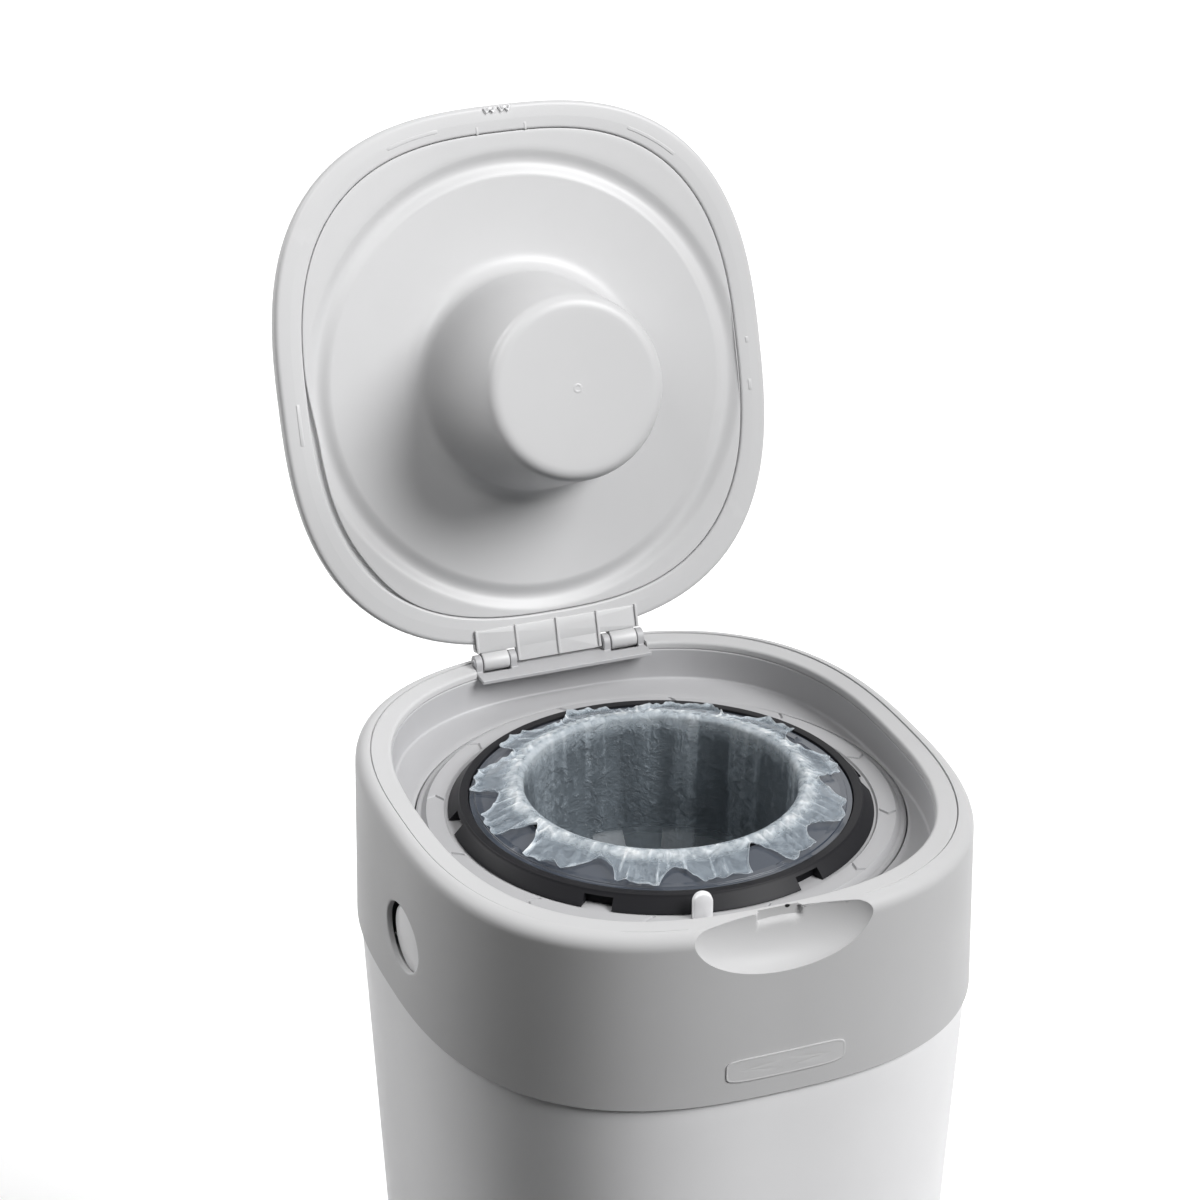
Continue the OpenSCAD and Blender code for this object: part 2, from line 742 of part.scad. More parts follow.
module lid_shell()
{
    t = lid_wall;
    roof = lid_h;
    color("lightgray") opened() difference() {
        union() {
            skin(concat(
                [for (c = under_crown) lid_level(c[0], roof - t - c[1])],
                [lid_level(t + 0.4, 6), lid_level(t + 0.4, t + 0.2), lid_level(lip_w, t + 0.2), lid_level(lip_w, 0),
                 lid_level(1.6, 0), lid_level(0.4, 0.6), lid_level(0, 2), lid_level(0, 5)],
                [for (c = crown) lid_level(c[0], roof - c[1])]
            ));
            // Rear flange with its ribs
            translate([-flange_hw, hinge_y - flange_fore, seat_z]) cube([2 * flange_hw, flange_d, 5]);
            for (x = [-flange_hw, -19, -0.6, 17.8, flange_hw - 1.2])
                translate([x, hinge_y - flange_fore, seat_z - 1]) cube([1.2, flange_d, 1.2]);
            // Arms and knuckles
            mirrored_x() translate([knuckle_from, hinge_y, hinge_z]) {
                rotate([0, 90, 0]) cylinder(r = knuckle_r, h = knuckle_to - knuckle_from);
                translate([0, -7, seat_z - hinge_z]) cube([knuckle_to - knuckle_from, 7, 4.6]);
            }
        }
        mirrored_x() translate([knuckle_from - 1, hinge_y, hinge_z]) rotate([0, 90, 0])
            cylinder(r = pin_r + run_gap, h = knuckle_to - knuckle_from + 2);
    }
}

// The grooved disc round the plunger, turned about the plunger's axis in the shut lid
module grooved_disc(face, t)
{
    g = groove_w / 2;
    depth = 1.8;
    joint = joint_r + run_gap;
    turned([
        [joint, face - joint_drop], [joint_r + 4.6, face], [groove_r - g, face], [groove_r - g / 2, face + depth],
        [groove_r + g / 2, face + depth], [groove_r + g, face], [groove_r + g + 1, face],
        [groove_r + g + 1, face + t], [groove_r + g / 2, face + depth + t], [groove_r - g / 2 - 1, face + depth + t],
        [groove_r - g - 1, face + t], [joint, face + t]
    ]);
}

module lid_panel()
{
    edge = lip_w + 0.5;
    face = panel_face;
    t = panel_t;
    ring_r = groove_r + groove_w / 2 + 0.5;
    middle = 60;
    color("gainsboro") opened() union() {
        difference() {
            skin([
                lid_level(middle, face), lid_level(edge, face), lid_level(edge, lid_wall + 0.5),
                lid_level(5.5, lid_wall + 0.5), lid_level(5.5, lid_wall + 2.1), lid_level(edge + 2, lid_wall + 2.1),
                lid_level(edge + 2, face + t), lid_level(middle, face + t)
            ]);
            translate([0, well_y, seat_z - 1]) cylinder(r = ring_r, h = 10);
        }
        intersection() {
            grooved_disc(seat_z + face, t);
            skin([lid_level(edge, -plunger_l), lid_level(edge, face + 5)]);
        }
    }
}

module lid_plunger()
{
    face = seat_z + panel_face;
    tip = face - plunger_l;
    wall = 2.4;
    color("gainsboro") opened() turned([
        [0, tip], [plunger_tip_r - 4, tip], [plunger_tip_r - 1.2, tip + 1.2], [plunger_tip_r, tip + 4],
        [plunger_root_r - 3, face - 8], [plunger_root_r - 1.6, face - 3.4], [joint_r, face - joint_drop],
        [joint_r, face + panel_t], [joint_r - wall, face + panel_t], [plunger_root_r - 3 - wall, face - 7],
        [plunger_tip_r - wall, tip + 6], [plunger_tip_r - 5, tip + wall], [0, tip + wall]
    ]);
}

module lid_hooks()
{
    hook = flat_oval(hook_w / 2, hook_drop, 3);
    color("lightgray") opened() for (x = hook_xs) translate([x, hook_y + hook_t / 2, seat_z - 0.1])
        rotate([90, 0, 0]) linear_extrude(hook_t) difference() {
            intersection() {
                polygon(hook);
                translate([-hook_w, -2 * hook_drop]) square([2 * hook_w, 2 * hook_drop]);
            }
            translate([-0.8, -hook_drop + 1.2]) square([1.6, hook_drop]);
        }
}

tub_shell();
foot_pads();
collar_shell();
inner_frame();
ring_housing();
housing_screws();
nappy_fingers();
click_pawl();
hinge_strip();
hinge_pins();
badge_plate();
button_brackets();
release_spring_left();
release_spring_right();
release_button_left();
release_button_right();
twist_ring();
ratchet_ring();
cassette_catch();
cassette_body();
cassette_cover();
film_pack();
film_liner();
lid_shell();
lid_panel();
lid_plunger();
lid_hooks();
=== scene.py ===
import math

import bmesh
import bpy
import numpy as np
from bpy.props import FloatProperty, FloatVectorProperty, IntProperty, PointerProperty
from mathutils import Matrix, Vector


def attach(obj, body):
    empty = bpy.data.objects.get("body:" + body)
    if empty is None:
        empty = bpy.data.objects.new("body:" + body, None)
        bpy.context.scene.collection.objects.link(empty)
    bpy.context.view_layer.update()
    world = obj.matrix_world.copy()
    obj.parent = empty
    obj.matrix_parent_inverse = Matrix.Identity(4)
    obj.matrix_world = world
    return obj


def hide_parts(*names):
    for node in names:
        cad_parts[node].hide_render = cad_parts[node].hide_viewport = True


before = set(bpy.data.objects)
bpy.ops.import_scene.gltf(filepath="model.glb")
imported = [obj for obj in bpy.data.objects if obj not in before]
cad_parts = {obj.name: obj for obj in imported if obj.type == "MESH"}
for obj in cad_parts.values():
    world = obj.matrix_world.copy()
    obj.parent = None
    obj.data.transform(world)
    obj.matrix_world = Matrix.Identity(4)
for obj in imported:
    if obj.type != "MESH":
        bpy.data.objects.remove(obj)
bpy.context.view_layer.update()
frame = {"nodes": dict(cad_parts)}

bl_info = {
    "name": "Nappy bin",
    "version": (1, 0, 0),
    "blender": (4, 5, 0),
    "location": "3D View > Sidebar > Nappy bin",
    "description": "Builds a nappy bin with a lift-off collar, a film cassette and an open lid",
    "category": "Add Mesh",
}

# Places, heights from the floor and sizes that several pieces share, in millimetres
MM = 0.001               # shapes are worked out in millimetres and stored in metres
SQUARE = 2.65            # squareness of the body's rounded-square outline (2 is an ellipse)
LID_SQUARE = 2.72
WELL_Y = -2.0            # the ring, the cassette and the plunger share this upright axis
SKIRT_FOOT = 353.0       # lower edge of the collar
RIM_Z = 430.0            # top of the collar's rim
RIM_ROUND = 6.0          # radius of the rim's outer edge
SKIRT_TOP = RIM_Z - RIM_ROUND
SKIRT_FLARE = 1.2        # how far the skirt spreads from its top to its lower edge
COLLAR_WALL = 2.4
LAND_Z = 429.6           # flat land inside the rim's rounded edge
DECK_Z = 412.0           # top and underside of the deck round the twist ring
DECK_UNDER = 409.6
BAND_Z = 414.7           # raised band of the twist ring
TROUGH_Z = 413.9         # inner ledge of the twist ring, where the cassette drops in
CATCH_TURN = -102.0      # degrees round the ring at which the catch stands
SCOOP = (-131.0, 428.3)  # centre of the finger scoop's ellipsoid: y and z
SCOOP_DEEP = 11.0        # its half axes, front to back and upright
SCOOP_TALL = 20.0
LATCH_Y = -118.1         # back of the latch recess behind the scoop
WINDOW = (-16.5, 385.0)  # centre of a side window: y and z
WINDOW_CELLS = 20        # cells of the grid up a window's opening
WINDOW_CORE = 0.8        # share of a window's half size at which the grid's square is its ellipse
STEM = (-9.4, 382.0)     # axis of a release button's stem: y and z
HINGE = (117.8, 431.0)   # axis of the hinge: y and z
SEAT_Z = 429.9           # the shut lid's seat
LID_CY = -4.9            # middle of the lid, front to back
LID_OPEN = 107.8         # degrees

# The camera stands this way from its aim, in degrees, metres and a lens in millimetres
CAMERA_AZIMUTH = -21.35
CAMERA_ELEVATION = 25.72
CAMERA_DISTANCE = 1.62156
CAMERA_AIM = (0.04228, 0.17538, 0.42190)
CAMERA_LENS = 105.67
CAMERA_SENSOR = 36.0


# ---------------------------------------------------------------- sizes and colours

def length(name, value, text):
    """A length in metres that shows in the scene's units."""
    return FloatProperty(name=name, description=text, default=value, min=0.0,
                         unit="LENGTH", subtype="DISTANCE")


def number(name, value, least, text):
    """A whole number that is never less than least."""
    return IntProperty(name=name, description=text, default=value, min=least)


def tint(name, value, text):
    """A linear colour."""
    return FloatVectorProperty(name=name, description=text, default=value, size=3,
                               min=0.0, max=1.0, subtype="COLOR")


class BinSizes(bpy.types.PropertyGroup):
    tub_height: length("Tub height", 0.353, "From the floor to the collar's lower edge")
    foot_width: length("Foot width", 0.202, "Width of the tub at the floor")
    foot_depth: length("Foot depth", 0.226, "Depth of the tub at the floor")
    body_width: length("Body width", 0.2372, "Width of the collar at its rim")
    body_depth: length("Body depth", 0.2608, "Depth of the collar at its rim")
    scoop_width: length("Scoop width", 0.079, "Width of the finger scoop")
    window_length: length("Window length", 0.036, "Length of a side window")
    window_height: length("Window height", 0.029, "Height of a side window")
    ring_radius: length("Ring radius", 0.1018, "Outer radius of the twist ring")
    throat_radius: length("Throat radius", 0.058, "Radius of the way down through the cassette")
    lid_width: length("Lid width", 0.2224, "Width of the lid")
    lid_depth: length("Lid depth", 0.2338, "Depth of the lid, front to back")
    groove_radius: length("Groove radius", 0.095, "Radius of the groove round the plunger")
    plunger_root: length("Plunger root", 0.050, "Radius of the plunger where it leaves the lid")
    plunger_tip: length("Plunger tip", 0.0394, "Radius of the plunger's end")
    plunger_length: length("Plunger length", 0.0644, "Length of the plunger from the lid's inner face")
    arrow_count: number("Arrows", 12, 1, "Number of turning marks on the ring")
    fold_count: number("Film folds", 17, 8, "Number of long pleats in the film")


class BinColours(bpy.types.PropertyGroup):
    tub: tint("Tub", (0.86, 0.86, 0.87), "White moulding of the tub")
    collar: tint("Collar", (0.54, 0.54, 0.545), "Grey moulding of the collar")
    frame: tint("Frame", (0.425, 0.425, 0.435), "Pale grey inside the collar, and of the twist ring")
    lid: tint("Lid", (0.54, 0.54, 0.545), "Pale grey of the lid")
    white: tint("White parts", (0.82, 0.82, 0.83), "Release buttons, cassette catch and lid catches")
    inner: tint("Hidden parts", (0.09, 0.095, 0.10), "Housing, fingers and brackets under the deck")
    cassette: tint("Cassette", (0.012, 0.012, 0.014), "Black moulding of the cassette")
    cover: tint("Cover", (0.035, 0.045, 0.064), "Glossy dark ring on the cassette")
    film: tint("Film", (0.60, 0.71, 0.80), "Thin film, where it lies single")
    badge: tint("Badge", (0.54, 0.54, 0.545), "Plate on the front")
    steel: tint("Steel", (0.58, 0.58, 0.60), "Springs, pins and screws")
    rubber: tint("Rubber", (0.045, 0.045, 0.047), "Pads under the foot")
    floor: tint("Floor", (0.85, 0.85, 0.85), "Plain pale floor")


def size(name):
    """A named length of this bin, in millimetres."""
    return getattr(bpy.context.scene.bin_sizes, name) / MM


def colour(name):
    """A named colour of this bin, with full opacity."""
    return (*getattr(bpy.context.scene.bin_colours, name), 1.0)


# ---------------------------------------------------------------- outlines and paths

def eased(a, b, x):
    """Step from 0 at a to 1 at b: with u the share of the way, 3 u squared less 2 u cubed."""
    u = np.clip((x - a) / (b - a), 0.0, 1.0)
    return u * u * (3.0 - 2.0 * u)


def oval_radius(t, hw, hd, n):
    """Radius at angle t of the curve where |x / hw| to the n plus |y / hd| to the n is 1."""
    return (np.abs(np.cos(t) / hw) ** n + np.abs(np.sin(t) / hd) ** n) ** (-1.0 / n)


def oval_reach(x, hw, hd, n):
    """Half depth of that curve at x: hd times the n-th root of 1 less |x / hw| to the n."""
    return hd * np.clip(1.0 - np.abs(x / hw) ** n, 0.0, 1.0) ** (1.0 / n)


def rounded(corners, steps=5, closed=True):
    """Outline (u, v) from corners (u, v, radius). Each corner gives way to the quadratic curve between the
    two points that lie radius times tan(half the turn) before and after it."""
    c = np.array(corners, float)
    p, r = c[:, :2], c[:, 2:3]
    a, b = np.roll(p, 1, 0) - p, np.roll(p, -1, 0) - p
    la = np.maximum(np.linalg.norm(a, axis=1, keepdims=True), 1e-9)
    lb = np.maximum(np.linalg.norm(b, axis=1, keepdims=True), 1e-9)
    turn = math.pi - np.arccos(np.clip((a * b).sum(1, keepdims=True) / (la * lb), -1.0, 1.0))
    d = np.minimum(r * np.tan(np.minimum(turn, 3.0) / 2.0), 0.46 * np.minimum(la, lb))
    if not closed:
        d[[0, -1]] = 0.0
    s = np.linspace(0.0, 1.0, steps)[None, :, None]
    before, after = (p + a / la * d)[:, None], (p + b / lb * d)[:, None]
    q = ((1 - s) ** 2 * before + 2 * s * (1 - s) * p[:, None] + s ** 2 * after).reshape(-1, 2)
    apart = np.linalg.norm(q - np.roll(q, 1, 0), axis=1) > 1e-4
    if not closed:
        apart[0] = True
    return q[apart]


def spread(path, step, closed=True):
    """The same path with evenly spaced extra points, none further apart than step."""
    p = np.asarray(path, float)
    a = p if closed else p[:-1]
    q = np.roll(p, -1, 0) if closed else p[1:]
    k = np.maximum(1, np.ceil(np.linalg.norm(q - a, axis=1) / step).astype(int))
    start = np.repeat(np.arange(len(a)), k)
    share = (np.arange(k.sum()) - np.repeat(np.cumsum(k) - k, k)) / k[start]
    out = a[start] + (q - a)[start] * share[:, None]
    return out if closed else np.vstack([out, p[-1:]])


def angles(stops, counts):
    """Angles that run through the given stops, with the given number of steps between each two."""
    parts = [np.linspace(a, b, k, endpoint=False) for a, b, k in zip(stops[:-1], stops[1:], counts)]
    return np.concatenate(parts + [np.array([stops[-1]])])


def circle(count):
    """Evenly spaced angles, once round."""
    return np.arange(count) * 2 * math.pi / count


def levels_grid(levels, t, n=SQUARE):
    """Grid of points: a row for each level (half width, half depth, z, centre y), a column for each angle."""
    level = np.array(levels, float)
    r = oval_radius(t[None, :], level[:, :1], level[:, 1:2], n)
    return np.stack([r * np.cos(t), level[:, 3:4] + r * np.sin(t), level[:, 2:3] + 0.0 * r], -1)


def turned(profile, count=240, cy=WELL_Y, cx=0.0):
    """Grid from a profile (radius, z) turned about the upright axis through (cx, cy)."""
    p = np.asarray(profile, float)
    t = circle(count)
    r, z = p[:, :1], p[:, 1:2]
    return np.stack([cx + r * np.cos(t), cy + r * np.sin(t), z + 0.0 * t], -1)


def rod(path, t):
    """Grid (along, across, across) of a path (radius, place along) turned about its own axis."""
    return path[:, 1:2] + 0 * t, path[:, :1] * np.cos(t), path[:, :1] * np.sin(t)


def slab(outline, thick, edge=0.4):
    """Grid (u, v, w) of a flat form: one outline carried through its thickness, drawn in by edge along its
    own normal at both faces, with a row at the middle of each face to close it."""
    p = np.asarray(outline, float)
    tangent = np.roll(p, -1, 0) - np.roll(p, 1, 0)
    normal = np.stack([tangent[:, 1], -tangent[:, 0]], 1)
    normal /= np.maximum(np.linalg.norm(normal, axis=1, keepdims=True), 1e-9)
    area = 0.5 * np.sum(p[:, 0] * np.roll(p[:, 1], -1) - p[:, 1] * np.roll(p[:, 0], -1))
    normal *= np.sign(area)
    inset = np.array([edge, 0.3 * edge, 0.0, 0.0, 0.3 * edge, edge])[:, None, None]
    w = np.array([0.0, 0.3 * edge, edge, thick - edge, thick - 0.3 * edge, thick])[:, None]
    drawn_in = p[None] - normal[None] * inset
    grid = np.concatenate([drawn_in, np.broadcast_to(w[:, :, None], (6, len(p), 1))], -1)
    middle = grid.mean(1, keepdims=True) + 0.0 * grid
    return np.concatenate([middle[:1], grid, middle[-1:]])


def box_outline(u0, u1, v0, v1, radius):
    """A rectangle with rounded corners."""
    return rounded([(u0, v0, radius), (u1, v0, radius), (u1, v1, radius), (u0, v1, radius)], 4)


def bar(x, y, z, edge=0.4, radius=0.6):
    """A small block from (low, high) in x, y and z, with rounded upright corners and eased faces."""
    g = slab(box_outline(x[0], x[1], y[0], y[1], radius), z[1] - z[0], edge)
    return g + np.array([0.0, 0.0, z[0]])


def opened(points):
    """Points of the shut lid, turned open about the hinge's axis."""
    a = -math.radians(LID_OPEN)
    y, z = points[..., 1] - HINGE[0], points[..., 2] - HINGE[1]
    return np.stack([points[..., 0], HINGE[0] + y * math.cos(a) - z * math.sin(a),
                     HINGE[1] + y * math.sin(a) + z * math.cos(a)], -1)


def about_well(points, degrees):
    """Points turned about the well's upright axis."""
    a = math.radians(degrees)
    x, y = points[..., 0], points[..., 1] - WELL_Y
    return np.stack([x * math.cos(a) - y * math.sin(a), WELL_Y + x * math.sin(a) + y * math.cos(a),
                     points[..., 2]], -1)


# ---------------------------------------------------------------- meshes

def quads(rows, cols, close_rows=False, close_cols=True):
    """Corner numbers of the cells of a grid, closed round its rows or columns where asked."""
    r = np.arange(rows if close_rows else rows - 1)
    c = np.arange(cols if close_cols else cols - 1)
    i, j = np.meshgrid(r, c, indexing="ij")
    k, l = (i + 1) % rows, (j + 1) % cols
    return np.stack([i * cols + j, i * cols + l, k * cols + l, k * cols + j], -1).reshape(-1, 4)


def surface(grid, close_rows=False, close_cols=True):
    """A grid of points as (points, quads)."""
    rows, cols = grid.shape[:2]
    return grid.reshape(-1, 3), quads(rows, cols, close_rows, close_cols)


def solid(grid):
    """A grid whose first and last rows are closed by a fan to their middles."""
    middle = np.broadcast_to(grid.mean(1, keepdims=True), grid.shape)
    return surface(np.concatenate([middle[:1], grid, middle[-1:]]))


def ring(grid):
    """A grid that is closed both ways."""
    return surface(grid, True)


def make_piece(name, surfaces, body, slot, replaces=(), look=None, smooth=34.0, mask=None, merge=2e-6):
    """One object from several (points, faces). Points that fall together are merged, and the faces of each
    closed form are turned to point outward. mask gives a value for each point, kept as the attribute
    "fold". look names the finish, where it isn't the slot's own."""
    mesh = bpy.data.meshes.new(name)
    base = np.cumsum([0] + [len(p) for p, _ in surfaces[:-1]])
    points = np.concatenate([p for p, _ in surfaces]) * MM
    faces = np.concatenate([f + b for (_, f), b in zip(surfaces, base)]).astype(np.int32)
    mesh.vertices.add(len(points))
    mesh.vertices.foreach_set("co", points.astype(np.float32).ravel())
    mesh.loops.add(faces.size)
    mesh.loops.foreach_set("vertex_index", faces.ravel())
    mesh.polygons.add(len(faces))
    mesh.polygons.foreach_set("loop_start", np.arange(len(faces), dtype=np.int32) * 4)
    mesh.update(calc_edges=True)
    if mask is not None:
        values = mesh.attributes.new("fold", "FLOAT", "POINT")
        values.data.foreach_set("value", np.asarray(mask, np.float32).ravel())
    work = bmesh.new()
    work.from_mesh(mesh)
    bmesh.ops.remove_doubles(work, verts=work.verts, dist=merge)
    bmesh.ops.dissolve_degenerate(work, edges=work.edges, dist=1e-7)
    bmesh.ops.recalc_face_normals(work, faces=work.faces)
    work.to_mesh(mesh)
    work.free()
    mesh.shade_smooth()
    mesh.set_sharp_from_angle(angle=math.radians(smooth))
    return finish_piece(bpy.data.objects.new(name, mesh), body, slot, replaces, look)


def finish_piece(piece, body, slot, replaces=(), look=None):
    """Links a piece, gives it the material of its slot, or of its look where one is given, and lets it ride
    on its body.
    """
    bpy.context.scene.collection.objects.link(piece)
    piece.data.materials.clear()
    piece.data.materials.append(finish(look or slot))
    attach(piece, body)
    if replaces:
        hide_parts(*replaces)
    return piece


def roomier(at):
    """The bracket's corners moved so that the wide pad clears it, in metres: those in front of y -0.020 go
    10.5 mm forward, and those above z 0.390 go 5.5 mm up."""
    forward = np.where(at[:, 1] < -0.020, -10.5 * MM, 0.0)
    up = np.where(at[:, 2] > 0.390, 5.5 * MM, 0.0)
    return at + np.stack([0 * up, forward, up], 1)


def dressed(part, body, slot, edge=0.2, shape=None):
    """A node's own form with its edges eased: its mesh copied, merged, reshaped where a shape is given, and
    bevelled along its sharp edges."""
    sharp = math.radians(34.0)
    mesh = frame["nodes"][part].data.copy()
    mesh.name = part + "_eased"
    work = bmesh.new()
    work.from_mesh(mesh)
    bmesh.ops.remove_doubles(work, verts=work.verts, dist=1e-6)
    bmesh.ops.dissolve_limit(work, angle_limit=math.radians(1.0), verts=work.verts, edges=work.edges)
    bmesh.ops.recalc_face_normals(work, faces=work.faces)
    work.to_mesh(mesh)
    work.free()
    if shape:
        at = np.empty(3 * len(mesh.vertices))
        mesh.vertices.foreach_get("co", at)
        mesh.vertices.foreach_set("co", shape(at.reshape(-1, 3)).ravel())
        mesh.update()
    mesh.shade_smooth()
    piece = finish_piece(bpy.data.objects.new(part + "_eased", mesh), body, slot, (part,))
    bevel = piece.modifiers.new("Eased edges", "BEVEL")
    bevel.width, bevel.segments, bevel.limit_method = edge * MM, 2, "ANGLE"
    bevel.angle_limit = sharp
    bevel.harden_normals = True
    mesh.set_sharp_from_angle(angle=sharp)
    return piece


# ---------------------------------------------------------------- materials

def group(name, inputs, outputs):
    """A shader node group. Its inputs go by name and default, which is a number, a place of three values or
    a colour of four, and its outputs by name and kind."""
    tree = bpy.data.node_groups.new(name, "ShaderNodeTree")
    for label, value in inputs.items():
        kind = "Float" if isinstance(value, float) else {3: "Vector", 4: "Color"}[len(value)]
        socket = tree.interface.new_socket(name=label, in_out="INPUT", socket_type="NodeSocket" + kind)
        socket.default_value = value
    for label, kind in outputs.items():
        tree.interface.new_socket(name=label, in_out="OUTPUT", socket_type="NodeSocket" + kind)
    return tree, tree.nodes.new("NodeGroupInput").outputs, tree.nodes.new("NodeGroupOutput")


def feed(tree, made, inputs):
    """Gives a node's inputs their values. An input that is given a socket is linked to it."""
    for key, value in inputs.items():
        if isinstance(value, bpy.types.NodeSocket):
            tree.links.new(value, made.inputs[key])
        else:
            made.inputs[key].default_value = value


def node(tree, kind, inputs=None, **settings):
    """A node with its settings and its inputs."""
    made = tree.nodes.new(kind)
    for key, value in settings.items():
        setattr(made, key, value)
    feed(tree, made, inputs or {})
    return made


def own_place(tree):
    """Where a point lies on the object, in metres."""
    return node(tree, "ShaderNodeTexCoord").outputs["Object"]


def noise(tree, place, scale, detail, roughness=0.5, distortion=0.0):
    """The value of a noise texture."""
    return node(tree, "ShaderNodeTexNoise", {"Vector": place, "Scale": scale, "Detail": detail,
                                             "Roughness": roughness, "Distortion": distortion}).outputs["Fac"]


def sum_up(tree, operation, *values):
    """The result of one sum on numbers and sockets."""
    return node(tree, "ShaderNodeMath", dict(enumerate(values)), operation=operation).outputs[0]


def carried(tree, value, low, high, to_low=0.0, to_high=1.0):
    """A value carried from the range (low, high) to the range (to_low, to_high)."""
    return node(tree, "ShaderNodeMapRange", {"Value": value, "From Min": low, "From Max": high,
                                             "To Min": to_low, "To Max": to_high}).outputs["Result"]


def blended(tree, share, first, second):
    """A colour that goes from the first to the second as the share goes from 0 to 1."""
    return node(tree, "ShaderNodeMix", {0: share, 6: first, 7: second}, data_type="RGBA").outputs[2]


def bumped(tree, height, distance):
    """The normal of a surface raised by a height."""
    made = node(tree, "ShaderNodeBump", {"Strength": 1.0, "Height": height, "Distance": distance})
    return made.outputs["Normal"]


def lit_ray(tree):
    """1 for rays that come from the camera, a reflection or through glass, and 0 for the rest."""
    rays = node(tree, "ShaderNodeLightPath").outputs
    seen = sum_up(tree, "MAXIMUM", rays["Is Camera Ray"], rays["Is Glossy Ray"])
    return sum_up(tree, "MAXIMUM", seen, rays["Is Transmission Ray"])


def new_material(name):
    """A material with its node tree and its shader."""
    material = bpy.data.materials.new(name)
    material.use_nodes = True
    return material, material.node_tree, material.node_tree.nodes["Principled BSDF"]


def moulded_grain():
    """Fine moulded grain: a fine noise as a bump, and a roughness that drifts over the surface."""
    if "Moulded grain" in bpy.data.node_groups:
        return bpy.data.node_groups["Moulded grain"]
    tree, given, out = group(
        "Moulded grain",
        {"Grain Size": 2200.0, "Grain Height": 0.00002, "Roughness": 0.4, "Roughness Spread": 0.06},
        {"Normal": "Vector", "Roughness": "Float"})
    place = own_place(tree)
    fine = noise(tree, place, given["Grain Size"], 3.0, 0.55)
    drift = sum_up(tree, "SUBTRACT", noise(tree, place, 38.0, 4.0, 0.6), 0.5)
    feed(tree, out, {
        "Normal": bumped(tree, fine, given["Grain Height"]),
        "Roughness": sum_up(tree, "MULTIPLY_ADD", drift, given["Roughness Spread"], given["Roughness"])})
    return tree


def age_and_corner_shade():
    """Age of a surface, and painted shade: a slow drift of its colour, edges polished paler where they stick
    out, corners darkened by a painted shade, and a little dust on what faces up."""
    if "Surface age and corner shade" in bpy.data.node_groups:
        return bpy.data.node_groups["Surface age and corner shade"]
    tree, given, out = group(
        "Surface age and corner shade",
        {"Colour": (0.5, 0.5, 0.5, 1.0), "Drift": 0.04, "Edge Wear": 0.12, "Corner Shade": 0.1, "Dust": 0.05},
        {"Colour": "Color"})
    worn_shade, corner_shade_colour = (0.9, 0.9, 0.9, 1.0), (0.10, 0.10, 0.095, 1.0)
    dust_shade = (0.62, 0.61, 0.59, 1.0)
    place = own_place(tree)
    facts = node(tree, "ShaderNodeNewGeometry").outputs
    slow = noise(tree, place, 14.0, 5.0, 0.55)
    tone = carried(tree, slow, 0.3, 0.7, -0.5, 0.5)
    amount = sum_up(tree, "MULTIPLY_ADD", tone, given["Drift"], 1.0)
    shade = node(tree, "ShaderNodeVectorMath", {0: given["Colour"], "Scale": amount}, operation="SCALE")
    broken = sum_up(tree, "MULTIPLY", carried(tree, facts["Pointiness"], 0.53, 0.62),
                    noise(tree, place, 160.0, 4.0, 0.7))
    worn = blended(tree, sum_up(tree, "MULTIPLY", broken, given["Edge Wear"]), shade.outputs[0], worn_shade)
    # Painted shade: hollow corners, where pointiness is low, go towards a near-black colour
    corner = carried(tree, facts["Pointiness"], 0.48, 0.42)
    corner_shaded = blended(tree, sum_up(tree, "MULTIPLY", corner, given["Corner Shade"]), worn, corner_shade_colour)
    up = node(tree, "ShaderNodeSeparateXYZ", {0: facts["Normal"]}).outputs["Z"]
    patch = sum_up(tree, "MULTIPLY", carried(tree, up, 0.6, 1.0), slow)
    dusty = blended(tree, sum_up(tree, "MULTIPLY", patch, given["Dust"]), corner_shaded, dust_shade)
    feed(tree, out, {"Colour": dusty})
    return tree


def painted_hole_shade():
    """Painted shade of a small pin hole on the land behind the scoop, with no hole in the mesh: 1 within a
    radius of a fixed point, 0 beyond.
    """
    if "Painted pin hole shade" in bpy.data.node_groups:
        return bpy.data.node_groups["Painted pin hole shade"]
    tree, given, out = group("Painted pin hole shade", {"Place": (0.0051, -0.1189, 0.4296), "Radius": 0.0012},
                             {"Mask": "Float"})
    away = node(tree, "ShaderNodeVectorMath", {0: own_place(tree), 1: given["Place"]}, operation="DISTANCE")
    share = sum_up(tree, "DIVIDE", away.outputs["Value"], given["Radius"])
    feed(tree, out, {"Mask": carried(tree, share, 1.12, 0.92)})
    return tree


def moulded(name, shade, rough, grain=2200.0, height=0.00002, wear=0.12, corner_shade=0.1, dust=0.04,
            specular=0.5, coat=0.0, metal=0.0, drift=0.04):
    """A moulded finish: the shade aged, and darkened in its corners by painted shade, by the age group, and
    its grain and roughness from the grain group.
    """
    material, tree, shader = new_material(name)
    material.diffuse_color = colour(shade)
    age = node(tree, "ShaderNodeGroup", {"Colour": colour(shade), "Drift": drift, "Edge Wear": wear,
                                         "Corner Shade": corner_shade, "Dust": dust}, node_tree=age_and_corner_shade())
    grit = node(tree, "ShaderNodeGroup", {"Grain Size": grain, "Grain Height": height, "Roughness": rough,
                                          "Roughness Spread": 0.06}, node_tree=moulded_grain())
    feed(tree, shader, {
        "Specular IOR Level": specular, "Coat Weight": coat, "Coat Roughness": 0.12, "Metallic": metal,
        "Base Color": age.outputs["Colour"], "Normal": grit.outputs["Normal"],
        "Roughness": grit.outputs["Roughness"]})
    return material
